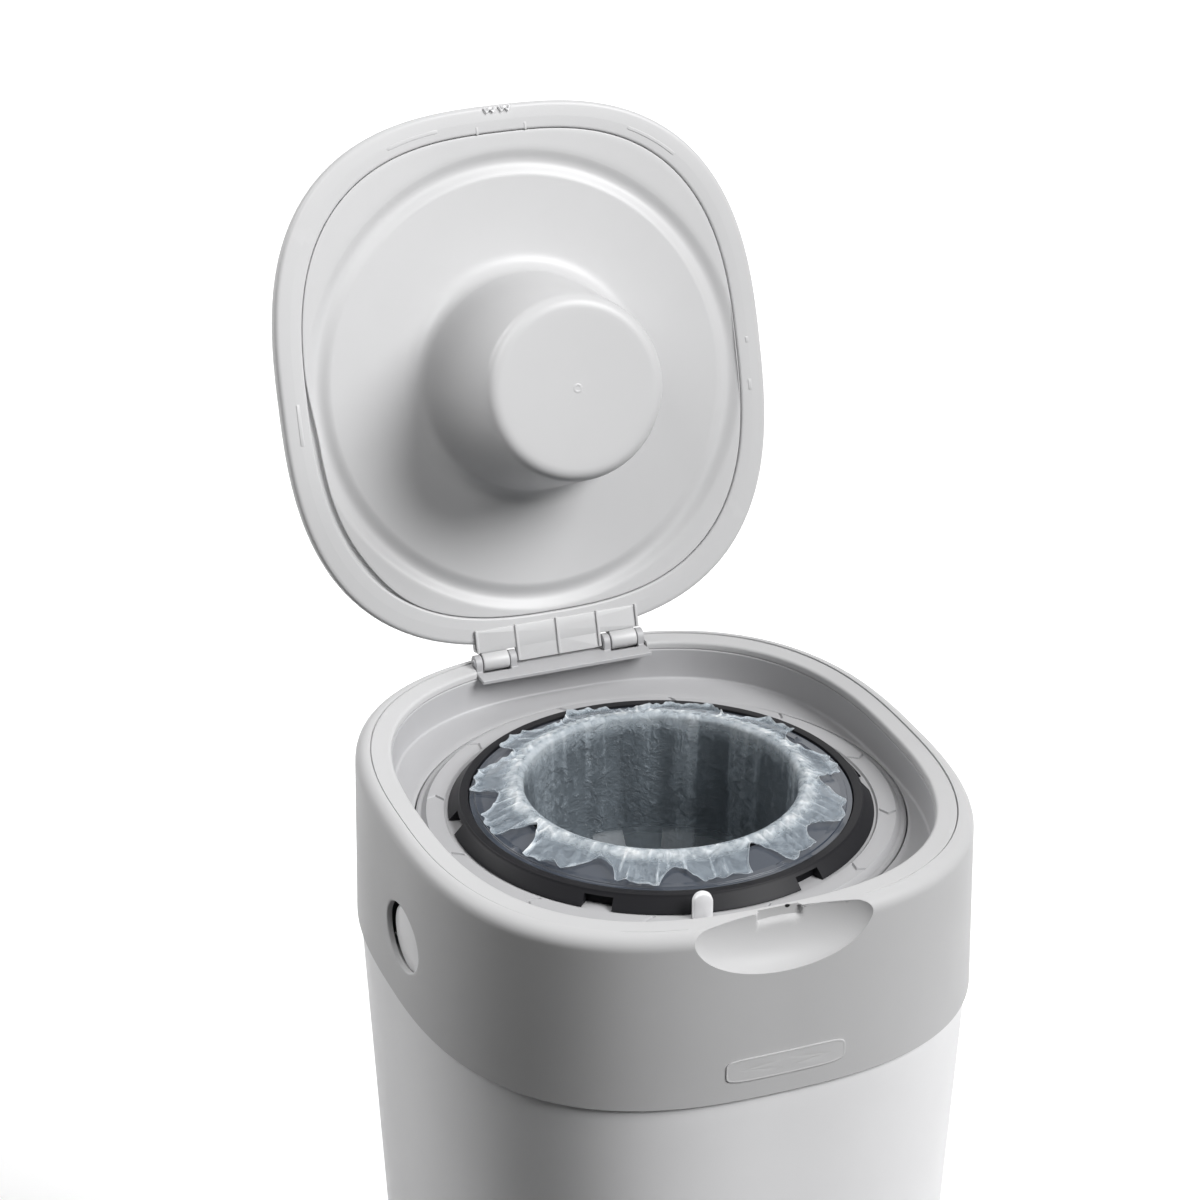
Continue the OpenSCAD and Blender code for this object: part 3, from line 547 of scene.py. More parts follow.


# Name, colour, roughness and further values of each moulded finish, by its slot in the record
# corner_shade sets how strongly hollow corners are darkened by painted shade
FINISHES = {
    "tub_white": ("Tub moulding", "tub", 0.42, dict(height=0.000018, wear=0.0, corner_shade=0.05, specular=0.25)),
    "collar_grey": ("Collar moulding", "collar", 0.40,
                    dict(height=0.00003, grain=1700.0, wear=0.18, corner_shade=0.2, specular=0.12, drift=0.05)),
    "frame_grey": ("Frame moulding", "frame", 0.42, dict(wear=0.08, corner_shade=0.16, specular=0.4)),
    "lid_grey": ("Lid moulding", "lid", 0.38, dict(height=0.000016, wear=0.08, specular=0.4)),
    "white_part": ("White moulding", "white", 0.35, dict(wear=0.0)),
    "inner_grey": ("Hidden moulding", "inner", 0.5, dict(wear=0.08, corner_shade=0.2, dust=0.15)),
    "cassette_black": ("Black moulding", "cassette", 0.42,
                       dict(wear=0.02, corner_shade=0.0, dust=0.01, height=0.000025, specular=0.12)),
    "cover_navy": ("Glossy cover", "cover", 0.24,
                   dict(wear=0.04, corner_shade=0.0, dust=0.03, height=0.000006, coat=0.6)),
    "badge": ("Badge moulding", "badge", 0.38,
              dict(wear=0.02, corner_shade=0.06, dust=0.0, drift=0.015, height=0.00001)),
    "steel": ("Drawn steel", "steel", 0.3, dict(grain=900.0, height=0.00001, metal=1.0, corner_shade=0.2)),
    "rubber": ("Foot rubber", "rubber", 0.8, dict(grain=900.0, height=0.00005, wear=0.1, dust=0.3)),
}


def finish(kind):
    """The material of a kind of part. It is built when it is first asked for."""
    if kind == "film":
        return bpy.data.materials.get("Thin film") or film_finish()
    name, shade, rough, more = FINISHES[kind]
    return bpy.data.materials.get(name) or moulded(name, shade, rough, **more)


def film_finish():
    """Thin film: where it lies single it is bluish and lets the dark show through, and where it is folded
    over itself it goes white and closed. The fold attribute carries how much it is folded, together with
    painted highlights on crests, in patches and in streaks, which whiten and close it the same way."""
    material, tree, shader = new_material("Thin film")
    material.diffuse_color = colour("film")
    fold = node(tree, "ShaderNodeAttribute", attribute_name="fold").outputs["Fac"]
    crinkle = noise(tree, own_place(tree), 150.0, 7.0, 0.68, 2.2)
    mask = carried(tree, sum_up(tree, "MULTIPLY_ADD", crinkle, 0.5, fold), 0.28, 1.10)
    folded_and_highlight_shade = (0.90, 0.93, 0.95, 1.0)
    feed(tree, shader, {
        "Specular IOR Level": 0.5, "IOR": 1.45,
        "Base Color": blended(tree, mask, colour("film"), folded_and_highlight_shade),
        "Alpha": carried(tree, mask, 0.0, 1.0, 0.11, 0.88),
        "Roughness": carried(tree, mask, 0.0, 1.0, 0.16, 0.42),
        "Normal": bumped(tree, crinkle, 0.0016)})
    return material


def floor_finish():
    """The pale floor: matt with a faint mottle. Seen straight or in a reflection it also gives out light
    enough to read as white, and its shadow stays."""
    material, tree, shader = new_material("Pale floor")
    pale = colour("floor")
    mottled = (*(0.97 * c for c in pale[:3]), 1.0)
    plain = blended(tree, noise(tree, own_place(tree), 3.0, 3.0), pale, mottled)
    seen = lit_ray(tree)
    feed(tree, shader, {
        "Roughness": 0.9, "Specular IOR Level": 0.0,
        "Base Color": blended(tree, seen, (0.05, 0.05, 0.05, 1.0), plain),
        "Emission Color": (1.0, 1.0, 1.0, 1.0),
        "Emission Strength": carried(tree, seen, 0.0, 1.0, 0.0, 0.42)})
    return material


# ---------------------------------------------------------------- the tub

def tub_half(z):
    """Half width and half depth of the tub at height z, growing in a straight line from foot to collar."""
    share = np.asarray(z, float) / size("tub_height")
    top_w, top_d = size("body_width") / 2 - 0.2, size("body_depth") / 2 - 0.2
    foot_w, foot_d = size("foot_width") / 2, size("foot_depth") / 2
    return foot_w + (top_w - foot_w) * share, foot_d + (top_d - foot_d) * share


def tub_surfaces():
    """The tub's wall as a section (inset, z) swept round the rounded-square outline: up the outside from a
    rounded foot, in over the shoulder, up and over the spigot, down the inside and across the floor."""
    shoulder = size("tub_height") - 0.3
    spigot_top = shoulder + 14.3
    outside = rounded([(13.0, 0.9, 0.0), (10.5, 0.9, 0.4), (9.6, 0.0, 0.5), (0.0, 0.0, 6.0),
                       (0.0, shoulder, 0.5), (3.2, shoulder, 0.2)], 9, closed=False)
    outside = spread(outside, 9.0, closed=False)
    half_w, half_d = tub_half(outside[:, 1])
    low = np.stack([half_w - outside[:, 0], half_d - outside[:, 0], outside[:, 1], 0 * half_w], 1)
    spigot = rounded([(3.4, shoulder, 0.2), (3.66, shoulder + 1.0, 0.3), (3.66, spigot_top, 0.8),
                      (5.86, spigot_top, 0.8), (5.86, shoulder - 4.0, 1.0)], 5, closed=False)
    hw, hd = size("body_width") / 2, size("body_depth") / 2
    top = np.stack([hw - spigot[:, 0], hd - spigot[:, 0], spigot[:, 1], 0 * spigot[:, 0]], 1)
    inside = rounded([(2.2, shoulder - 10.0, 2.0), (2.2, 4.2, 7.0), (60.0, 4.2, 0.0)], 9, closed=False)
    inside = spread(inside, 24.0, closed=False)
    half_w, half_d = tub_half(inside[:, 1])
    down = np.stack([half_w - inside[:, 0], half_d - inside[:, 0], inside[:, 1], 0 * half_w], 1)
    return [solid(levels_grid(np.concatenate([low, top, down]), circle(420)))]


# ---------------------------------------------------------------- the collar

def skirt_inset(z):
    """Inset of the skirt's outside from the rim's outline: it flares out in a straight line going down."""
    return -SKIRT_FLARE * np.clip(SKIRT_TOP - z, 0.0, None) / (SKIRT_TOP - SKIRT_FOOT)


def outer_inset(z):
    """Inset of the collar's outside at height z: the flared skirt, then a quarter round up to the rim."""
    up = np.clip(z - SKIRT_TOP, 0.0, RIM_ROUND)
    curve = RIM_ROUND - np.sqrt(np.clip(RIM_ROUND ** 2 - up * up, 0.0, None))
    return np.where(z <= SKIRT_TOP, skirt_inset(z), curve)


def skirt_y(x, z):
    """The y of the collar's front face above x at height z."""
    inset = outer_inset(z)
    return -oval_reach(x, size("body_width") / 2 - inset, size("body_depth") / 2 - inset, SQUARE)


def scoop_y(x, z, grow=0.0):
    """The y of the scoop's far side at x and z, on an ellipsoid, and far in front where it doesn't reach."""
    half = size("scoop_width") / 2
    q = 1.0 - (x / (half + grow)) ** 2 - ((z - SCOOP[1]) / (SCOOP_TALL + grow)) ** 2
    return np.where(q > 0.0, SCOOP[0] + (SCOOP_DEEP + grow) * np.sqrt(np.clip(q, 0.0, None)), -999.0)


def latch_share(x):
    """1 across the latch recess behind the scoop, easing to 0 at its two sides."""
    return eased(-8.5, -7.5, x) * eased(10.5, 9.5, x)


def drawn_to_ellipse(a, b, reach, to=1.0, limit=1.6):
    """Rings of a square grid become rings of an ellipse: a point on the square of half size m goes to the
    radius m * reach / to along its own direction, wholly up to m = to, and less and less out to limit."""
    m = np.maximum(np.abs(a), np.abs(b))
    away = np.maximum(np.hypot(a, b), 1e-6)
    w = eased(limit, to, m)
    scale = (1 - w) + w * m * reach / (to * away)
    return a * scale, b * scale


def collar_columns():
    """Angles round the collar, closer together across the scoop, the windows and the hinge's bay. The right
    half runs from the front to the back, and the left half mirrors it. Also the first and last column of
    the right window's opening."""
    hw, hd = size("body_width") / 2, size("body_depth") / 2

    def front(x):
        """The angle at which the front of the outline stands at x."""
        return math.atan2(-float(oval_reach(x, hw, hd, SQUARE)), x)

    def side(y):
        """The angle at which the right side of the outline stands at y."""
        return math.atan2(y, float(oval_reach(y, hd, hw, SQUARE)))

    half, lip = size("window_length") / 2, size("scoop_width") / 2
    stops = [-math.pi / 2]
    stops += [front(x) for x in (7.4, 8.6, 9.4, 10.6, 34.0, lip - 0.6, lip, lip + 1.6, 46.0, 64.0)]
    stops += [side(WINDOW[0] + share * half) for share in (-1.75, -WINDOW_CORE, WINDOW_CORE, 1.75)]
    stops += [-front(x) for x in (60.0, 40.03, 39.97)] + [math.pi / 2]
    counts = [12, 8, 3, 8, 34, 10, 5, 4, 6, 12, 58, 14, 30, 14, 58, 14, 1, 30]
    right = angles(stops, counts)
    left = math.pi - right[-2:0:-1]
    first = sum(counts[:12])
    return np.concatenate([right, left]), first, first + counts[12]


def collar_rows():
    """Section of the collar as rows (inset, z, kind): 0 up the outside, 1 over the rim, 2 down the inside.
    Also the row where the window's opening starts outside, and the row where it starts inside."""
    half = WINDOW_CORE * size("window_height") / 2
    below = np.array([353.5, 355.0, 358.0, 361.0, 363.5, 365.2, 367.0, 369.0, 370.5, 371.8, 372.8])
    opening = np.linspace(WINDOW[1] - half, WINDOW[1] + half, WINDOW_CELLS + 1)
    above = np.array([397.5, 398.7, 400.2, 402.0, 404.0, 405.6, 406.8, 407.7, 408.3, 408.36,
                      408.5, 408.75, 409.1, 409.6, 410.2, 411.0, 412.0, 413.2, 414.6, 416.2,
                      418.0, 419.8, 421.6, 423.0, SKIRT_TOP])
    round_off = SKIRT_TOP + RIM_ROUND * np.sin(np.linspace(0.0, math.pi / 2, 10)[1:])
    z = np.concatenate([below, opening, above, round_off])
    outside = np.stack([outer_inset(z), z, 0 * z], 1)
    groove = [(6.03, 429.8), (6.08, 429.1), (6.5, 429.1), (6.55, 429.5)]
    land = [(inset, LAND_Z) for inset in (6.62, 7.0, 7.6, 7.64, 8.3, 9.0, 9.8, 10.6, 11.4, 12.2, 13.0)]
    inner_edge = [(13.4, 429.58), (13.86, 429.46), (14.25, 429.2), (14.5, 428.8), (14.6, 428.3),
                  (14.6, 427.4), (14.6, 426.6), (14.4, 426.4), (11.0, 426.4), (8.0, 426.4), (5.2, 423.9)]
    rim = np.array(groove + land + inner_edge)
    rim = np.column_stack([rim, np.ones(len(rim))])
    high = np.array([421.4, 416.0, 410.0, 405.0, 401.5, 399.5, 398.0])
    z = np.concatenate([high, opening[::-1], [372.6, 371.6]])
    inner = np.stack([skirt_inset(z) + COLLAR_WALL, z, 2 + 0 * z], 1)
    foot = np.array([(371.3, 2.4), (369.7, 7.0), (367.3, 7.0), (367.25, 2.4), (360.0, 2.4), (353.6, 2.4),
                     (SKIRT_FOOT, 1.9), (SKIRT_FOOT, 0.5)])
    foot = np.stack([skirt_inset(foot[:, 0]) + foot[:, 1], foot[:, 0], 2 + 0 * foot[:, 0]], 1)
    rows = np.concatenate([outside, rim, inner, foot])
    return rows, len(below), len(outside) + len(rim) + len(high)


def collar_xy(t, inset):
    """Outline points at each inset. Near the front and the back a column keeps its own x, so that cuts there
    stay straight, and elsewhere it keeps its angle."""
    hw0, hd0 = size("body_width") / 2, size("body_depth") / 2
    hw, hd = hw0 - inset, hd0 - inset
    x0 = oval_radius(t, hw0, hd0, SQUARE) * np.cos(t)
    keep = eased(72.0, 50.0, np.abs(x0))
    y = np.sign(np.sin(t)) * oval_reach(x0, hw, hd, SQUARE)
    straight = np.arctan2(y, x0 + 0 * y)
    turn = (straight - t + math.pi) % (2 * math.pi) - math.pi
    angle = t + keep * turn
    r = oval_radius(angle, hw, hd, SQUARE)
    return r * np.cos(angle), r * np.sin(angle)


def pierce(points, cols, faces, c0, c1, up, down):
    """Lines a window's opening through the wall: rings that step from the outer border to the inner one and
    draw in a little to the window's middle. The cells of the opening itself are already gone."""
    tall = WINDOW_CELLS
    ring_c = np.concatenate([np.arange(c0, c1), np.full(tall, c1), np.arange(c1, c0, -1), np.full(tall, c0)])
    ring_q = np.concatenate([np.zeros(c1 - c0, int), np.arange(tall), np.full(c1 - c0, tall),
                             np.arange(tall, 0, -1)])
    outer = (up + ring_q) * cols + ring_c % cols
    inner = (down + tall - ring_q) * cols + ring_c % cols
    o, i = points[outer], points[inner]
    share = np.array([0.03, 0.12, 0.28, 0.9])[:, None, None]
    narrow = np.array([0.988, 0.972, 0.965, 0.965])[:, None, None]
    path = o[None] + (i - o)[None] * share
    path[..., 1:] = np.array(WINDOW) + (path[..., 1:] - np.array(WINDOW)) * narrow
    n, first = len(outer), len(points)
    rows = np.concatenate([outer[None], first + np.arange(4 * n).reshape(4, n), inner[None]])
    a, b = rows[:-1], rows[1:]
    lining = np.stack([a, np.roll(a, -1, 1), np.roll(b, -1, 1), b], -1).reshape(-1, 4)
    return np.concatenate([points, path.reshape(-1, 3)]), np.concatenate([faces, lining])


def bent_to_scoop(x, y, z, outside):
    """The grid's rows and columns bent to the scoop's lip. The lip lies where the ellipsoid meets the skirt:
    its share of the ellipsoid's own ellipse is found by five rounds of working out one from the other."""
    half = size("scoop_width") / 2
    a, b = x / half, (z - SCOOP[1]) / SCOOP_TALL
    reach = 1.0 + 0 * a
    away = np.maximum(np.hypot(a, b), 1e-6)
    for _ in range(5):
        lip_x, lip_z = half * reach * a / away, SCOOP[1] + SCOOP_TALL * reach * b / away
        back = np.clip((skirt_y(lip_x, lip_z) - SCOOP[0]) / SCOOP_DEEP, 0.0, 0.9)
        reach = np.sqrt(1.0 - back ** 2)
    near = outside & (np.abs(a) < 1.6) & (b > -1.6)
    a, b = drawn_to_ellipse(a, b, reach)
    x, z = np.where(near, a * half, x), np.where(near, SCOOP[1] + SCOOP_TALL * b, z)
    return x, np.where(near, skirt_y(x, z), y), z


def bent_to_window(x, y, z, t, kind):
    """The grid's rows and columns bent to the side windows' ellipses, and laid back on the wall's faces."""
    wl, wh = size("window_length") / 2, size("window_height") / 2
    a, b = (y - WINDOW[0]) / wl, (z - WINDOW[1]) / wh
    limit = np.where(kind == 0, 1.6, 1.015)
    near = (np.abs(x) > 90.0) & (kind != 1) & (np.maximum(np.abs(a), np.abs(b)) < limit)
    a, b = drawn_to_ellipse(a, b, 1.0, WINDOW_CORE, limit)
    y, z = np.where(near, WINDOW[0] + a * wl, y), np.where(near, WINDOW[1] + b * wh, z)
    wall = np.where(kind == 0, outer_inset(z), skirt_inset(z) + COLLAR_WALL)
    across = oval_reach(y, size("body_depth") / 2 - wall, size("body_width") / 2 - wall, SQUARE)
    return np.where(near, np.sign(np.cos(t))[None, :] * across, x), y, z


def pressed_back(x, y, z, inset, rows, front):
    """The front pressed back to the scoop's ellipsoid, and further at the latch recess. Rows of the rim that
    it reaches end on one line, the scoop's brow. The inside of the wall gives way by the wall's thickness."""
    kind = rows[:, 2:3]
    deep, wall_deep = scoop_y(x, z), scoop_y(x, z, 2.0)
    recess = latch_share(x) * eased(423.6, 426.6, z)
    deep = np.where(deep > -900.0, deep + np.clip(LATCH_Y - deep, 0.0, None) * recess, deep)
    deep = np.where((kind == 1) & (z < 427.0), np.minimum(wall_deep, -117.8), deep)
    pressed = front & (kind != 2) & (deep > y) & (inset < 14.0)
    straight = x[rows[:, 2].argmax()][None, :] + 0 * x
    brow = scoop_y(straight, LAND_Z + 0 * x)
    brow = brow + np.clip(LATCH_Y - brow, 0.0, None) * latch_share(straight)
    top = pressed & (z > 428.9) & (brow > -124.2)
    y = np.where(pressed, np.where(top, brow, deep), y)
    x, z = np.where(top, straight, x), np.where(top, LAND_Z, z)
    y = np.where(front & (kind == 2) & (wall_deep > y), np.minimum(wall_deep, -117.4), y)
    groove_end = front & (kind == 1) & (np.abs(x) < size("scoop_width") / 2 - 2.0) & (inset < 6.6)
    return x, y, np.where(groove_end, LAND_Z, z)


def collar_surfaces():
    """The collar: a closed section swept round the outline. The rim steps down at the hinge's bay, the grid
    bends round the scoop's lip and round the side windows, the scoop presses the front back, and the cells
    of the windows give way to a lining."""
    t, c0, c1 = collar_columns()
    rows, up, down = collar_rows()
    kind = rows[:, 2:3]
    inset, z = rows[:, :1] + 0 * t, rows[:, 1:2] + 0 * t
    x, y = collar_xy(t[None, :], inset)
    behind = np.sin(t)[None, :] > 0
    bay = behind & (np.abs(x) < 40.0) & (kind == 1)
    inset = np.where(bay, np.minimum(inset, 7.6), inset)
    x, y = collar_xy(t[None, :], inset)
    x, y, z = bent_to_scoop(x, y, z, (kind == 0) & ~behind)
    x, y, z = bent_to_window(x, y, z, t, kind)
    x, y, z = pressed_back(x, y, z, inset, rows, ~behind)
    points, cells = surface(np.stack([x, y, z], -1), True)
    cols = len(t)
    r, c = cells[:, 0] // cols, cells[:, 0] % cols
    open_rows = (r >= up) & (r < up + WINDOW_CELLS) | (r >= down) & (r < down + WINDOW_CELLS)
    right, left = (c >= c0) & (c < c1), (c >= cols - c1) & (c < cols - c0)
    cells = cells[~(open_rows & (right | left))]
    points, cells = pierce(points, cols, cells, c0, c1, up, down)
    points, cells = pierce(points, cols, cells, cols - c1, cols - c0, up, down)
    return [(points, cells)]


def badge_surfaces():
    """The badge: a rounded plate that follows the skirt, with rings from its middle to its edge. It stands
    0.35 proud, its faint border 0.45, and its rounded edge goes back into the skirt."""
    middle_x, middle_z, half_l, half_h = 0.5, 367.0, 25.5, 5.2
    share = np.array([0.0, 0.3, 0.6, 0.78, 0.84, 0.87, 0.9, 0.95, 0.985, 1.0, 1.0])[:, None]
    lift = np.array([0.35, 0.35, 0.35, 0.35, 0.35, 0.38, 0.43, 0.45, 0.38, 0.12, -0.6])[:, None]
    drop = (1 - share) * half_h
    t = circle(160)
    hl = np.maximum((half_l - drop) * (share > 0), 0.001)
    hh = np.maximum(half_h - drop, 0.001)
    r = oval_radius(t[None, :], hl, hh, 6.0)
    x, z = middle_x + r * np.cos(t), middle_z + r * np.sin(t)
    x = np.where(share == 0, middle_x + (half_l - half_h) * np.cos(t), x)
    return [solid(np.stack([x, skirt_y(x, z) - lift, z], -1))]


# ---------------------------------------------------------------- inside the collar

def frame_surfaces():
    """The inner frame: a closed section round the collar whose rows lie on the rounded-square outline, and
    whose deck runs in to the circle round the twist ring. Four bosses for the screws hang below the deck."""
    t = circle(480)
    hw, hd = size("body_width") / 2, size("body_depth") / 2
    section = rounded([(12.6, DECK_UNDER, 0.3), (12.6, 423.8, 0.6), (8.4, 423.8, 0.4), (8.4, 426.2, 0.6),
                       (15.0, 426.2, 0.7), (15.3, DECK_Z, 2.2)], 6, closed=False)[:-1]
    corner = rounded([(15.1, 420.0, 0.0), (15.3, DECK_Z, 2.0), (18.0, DECK_Z, 0.0)], 8, False)[1:-1]
    section = spread(np.vstack([section, corner]), 5.0, closed=False)
    inset, z = section[:, 0], section[:, 1]
    wall = levels_grid(np.stack([hw - inset, hd - inset, z, 0 * inset], 1), t)
    held = scoop_y(wall[..., 0], wall[..., 2], 2.6)
    thin = (inset < 13.0)[:, None] & (np.sin(t) < 0)[None, :] & (held > wall[..., 1])
    wall[..., 1] = np.where(thin, np.minimum(held, -115.9), wall[..., 1])
    hole = size("ring_radius") + 0.6
    edge = turned([(hole + 0.5, DECK_Z), (hole + 0.15, DECK_Z - 0.15), (hole, DECK_Z - 0.5), (hole, 410.0),
                   (hole + 0.4, DECK_UNDER)], len(t))
    steps = np.linspace(0.0, 1.0, 6)[1:-1, None, None]
    deck = wall[-1:] * (1 - steps) + edge[:1] * steps
    deck[..., 2] = DECK_Z
    boss = turned(rounded([(5.0, DECK_Z - 3.0, 0.0), (5.0, 401.6, 0.4), (1.95, 401.6, 0.3),
                           (1.95, 408.0, 0.0)], 4, False), 40, WELL_Y, 110.2)
    bosses = [solid(about_well(boss, 45 + 90 * i)) for i in range(4)]
    return [ring(np.concatenate([wall, deck, edge]))] + bosses


def mirrored(grids, side):
    """Closed forms from grids, on the right for side 1 and mirrored to the left for side -1."""
    return [solid(grid * np.array([side, 1.0, 1.0])) for grid in grids]


def button_surfaces(side):
    """A release button: a pad of oval rings that follow the skirt's curve, with a crowned face and a rounded
    edge, then the stem, and the leg that stands beside the tub's spigot."""
    cy, cz = STEM
    pad_y, pad_z = WINDOW[0] - 1.4, WINDOW[1] - 0.9
    wide, tall = size("window_length") / 2 - 1.5, size("window_height") / 2 - 0.8
    hw, hd = size("body_width") / 2, size("body_depth") / 2
    t = circle(96)
    share = np.array([0.0, 0.25, 0.5, 0.75, 0.9, 0.96, 0.99, 1.0, 1.0, 0.9, 0.35])[:, None]
    out = np.array([117.2, 117.18, 117.1, 116.9, 116.7, 116.5, 116.3, 116.0, 115.8, 115.7, 115.7])[:, None]
    y, z = pad_y + wide * share * np.cos(t), pad_z + tall * share * np.sin(t)
    pad = np.stack([out - (hw - oval_reach(y, hd, hw, SQUARE)), y, z], -1)
    path = rounded([(0.0, 101.8, 0.0), (4.0, 101.8, 0.5), (4.0, 115.9, 0.3), (0.0, 115.9, 0.0)], 4, False)
    along, across, up = rod(path, t)
    stem = np.stack([along, cy + across, cz + up], -1)
    leg = bar((109.8, 112.2), (-13.0, -3.0), (356.0, 375.8), 0.5, 0.8)
    return mirrored([pad, stem, leg], side)


def spring_surfaces(side):
    """A coil spring: a round wire carried along a helix about the stem, with close turns at its ends."""
    cy, cz = STEM
    start, stop, turns = 105.9, 111.7, 7.0
    coil_radius, wire_radius = 5.2, 0.45
    s = np.linspace(0.0, 1.0, 300)
    a = 2 * math.pi * turns * s
    pace = np.interp(s, [0.0, 0.13, 0.87, 1.0], [0.0, 0.06, 0.94, 1.0])
    centre = np.stack([start + (stop - start) * pace, cy + coil_radius * np.cos(a),
                       cz + coil_radius * np.sin(a)], -1)
    along = np.gradient(centre, axis=0)
    along /= np.linalg.norm(along, axis=1, keepdims=True)
    out = np.stack([0 * a, np.cos(a), np.sin(a)], -1)
    over = np.cross(along, out)
    t = circle(10)[None, :, None]
    wire = out[:, None] * np.cos(t) + over[:, None] * np.sin(t)
    return mirrored([centre[:, None] + wire_radius * wire], side)


# ---------------------------------------------------------------- twist ring and cassette

def ring_surfaces():
    """The twist ring: a turned section with a raised band. The arrows are pressed into the band along two
    slanting strokes each, and a slot is sunk where the catch stands."""
    outer = size("ring_radius")
    cup, cup_foot = 82.2, 369.7
    lead = rounded([(89.3, TROUGH_Z, 0.2), (90.0, BAND_Z, 0.3)], 3, False)
    band_r = np.linspace(90.15, 97.0, 36)
    band = np.stack([band_r, np.full(36, BAND_Z)], 1)
    rest = rounded([(97.2, BAND_Z, 0.0), (97.3, BAND_Z, 0.5), (99.4, DECK_Z + 0.4, 0.6),
                    (outer - 1.0, DECK_Z + 0.4, 0.3), (outer, DECK_Z - 0.1, 0.4), (outer, DECK_UNDER, 0.3),
                    (cup + 2.2, DECK_UNDER, 0.3), (cup + 2.2, cup_foot, 0.5), (cup, cup_foot, 0.5),
                    (cup, TROUGH_Z, 0.4), (86.0, TROUGH_Z, 0.0), (88.6, TROUGH_Z, 0.0)], 4, False)
    profile = np.concatenate([lead, band, spread(rest, 14.0, False)])
    count = bpy.context.scene.bin_sizes.arrow_count
    pitch, first_arrow, slot_half = 360.0 / count, 4.0, 2.70
    local = np.concatenate([np.linspace(-0.6, 2.8, 26), np.linspace(2.8, pitch - 0.6, 20)[1:-1]])
    t = np.radians((first_arrow + pitch * np.arange(count)[:, None] + local[None, :]).ravel())
    slot = np.radians(CATCH_TURN) + np.array([-1.0, 1.0])[:, None] * np.radians([slot_half, slot_half + 0.04])
    t = np.unique(np.concatenate([(t + math.pi) % (2 * math.pi) - math.pi, slot.ravel()]))
    r, z = profile[:, :1], profile[:, 1:2] + 0.0 * t
    step = math.radians(pitch)
    from_arrow = (t - math.radians(first_arrow) + step / 2) % step - step / 2
    tip_r, slope, slope_cos, sunk_by = 94.2, 0.839, 0.766, 0.8
    u, v = r - tip_r, r * from_arrow[None, :]
    stroke = np.abs(v - slope * np.abs(u)) * slope_cos
    cut = eased(0.66, 0.46, stroke) * eased(4.1, 3.75, np.abs(u))
    z = np.where(np.abs(z - BAND_Z) < 0.01, z - sunk_by * cut, z)
    off = (t - math.radians(CATCH_TURN) + math.pi) % (2 * math.pi) - math.pi
    in_slot = (np.abs(off) < math.radians(slot_half + 0.02))[None, :] & (r > 89.35) & (r < 95.95)
    z = np.where(in_slot & (z > 411.0), 410.2, z)
    return [ring(np.stack([r * np.cos(t), WELL_Y + r * np.sin(t), z], -1))]


def catch_surfaces():
    """The cassette's catch: a flat peg whose outline has a round top, carried through its thickness with
    eased edges and turned to its place on the ring, with a pin through its foot."""
    half, cap_z = 4.0, 421.9
    a = np.linspace(0.0, math.pi, 24)
    cap = np.stack([half * np.cos(a), cap_z + half * np.sin(a)], 1)
    g = slab(spread(np.concatenate([cap, [(-half, 409.9), (half, 409.9)]]), 3.0), 4.0, 0.9)
    peg = np.stack([89.8 + g[..., 2], WELL_Y + g[..., 0], g[..., 1]], -1)
    path = rounded([(0.0, -5.8, 0.0), (1.2, -5.8, 0.3), (1.2, 5.8, 0.3), (0.0, 5.8, 0.0)], 4, False)
    along, across, up = rod(path, circle(24))
    pin = np.stack([91.8 + across, WELL_Y + along, DECK_Z + up], -1)
    return [surface(about_well(peg, CATCH_TURN)), solid(about_well(pin, CATCH_TURN))]


def cassette_surfaces():
    """The cassette's body: a turned section of skirt, trough and core tube. At six places the skirt is pushed
    in to its root, which leaves its notches."""
    bore, base_z, trough_z = size("throat_radius"), 372.2, 374.0
    skirt = rounded([(81.6, 418.6, 0.2), (82.6, 418.6, 0.2), (86.9, 414.2, 0.2), (88.7, 414.2, 0.35),
                     (84.85, 418.57, 0.0)], 4, False)
    cone = spread(np.array([(84.85, 418.57), (84.80, 418.63), (83.75, 419.8)]), 1.0, False)[1:]
    top = rounded([(83.7, 419.9, 0.0), (83.4, 420.4, 0.35), (79.8, 420.4, 0.3), (79.8, trough_z, 0.5),
                   (bore + 2.4, trough_z, 0.5), (bore + 2.4, 426.0, 0.7), (bore, 426.0, 0.7),
                   (bore, base_z, 0.5), (81.6, base_z, 0.6), (81.6, 418.0, 0.0)], 4, False)
    profile = np.concatenate([spread(skirt, 1.5, False), cone, spread(top, 16.0, False)])
    count, first_notch = 6, -9.0
    pitch = 360.0 / count
    edge = math.degrees(6.0 / 86.0)
    local = np.array([-edge - 0.04, -edge, edge, edge + 0.04])
    notches = (first_notch + pitch * np.arange(count)[:, None] + local).ravel() % 360
    t = np.concatenate([np.linspace(0, 360, 300, endpoint=False), notches])
    t = np.radians(np.unique(np.round(t, 4)))
    r, z = profile[:, :1] + 0 * t, profile[:, 1:2] + 0 * t
    off = (np.degrees(t) - first_notch + pitch / 2) % pitch - pitch / 2
    cut = (np.abs(off) < edge + 0.01)[None, :] & (z < 418.6) & (r > 82.9) & (z > 413.0)
    r = np.where(cut, 83.0, r)
    return [ring(np.stack([r * np.cos(t), WELL_Y + r * np.sin(t), z], -1))]


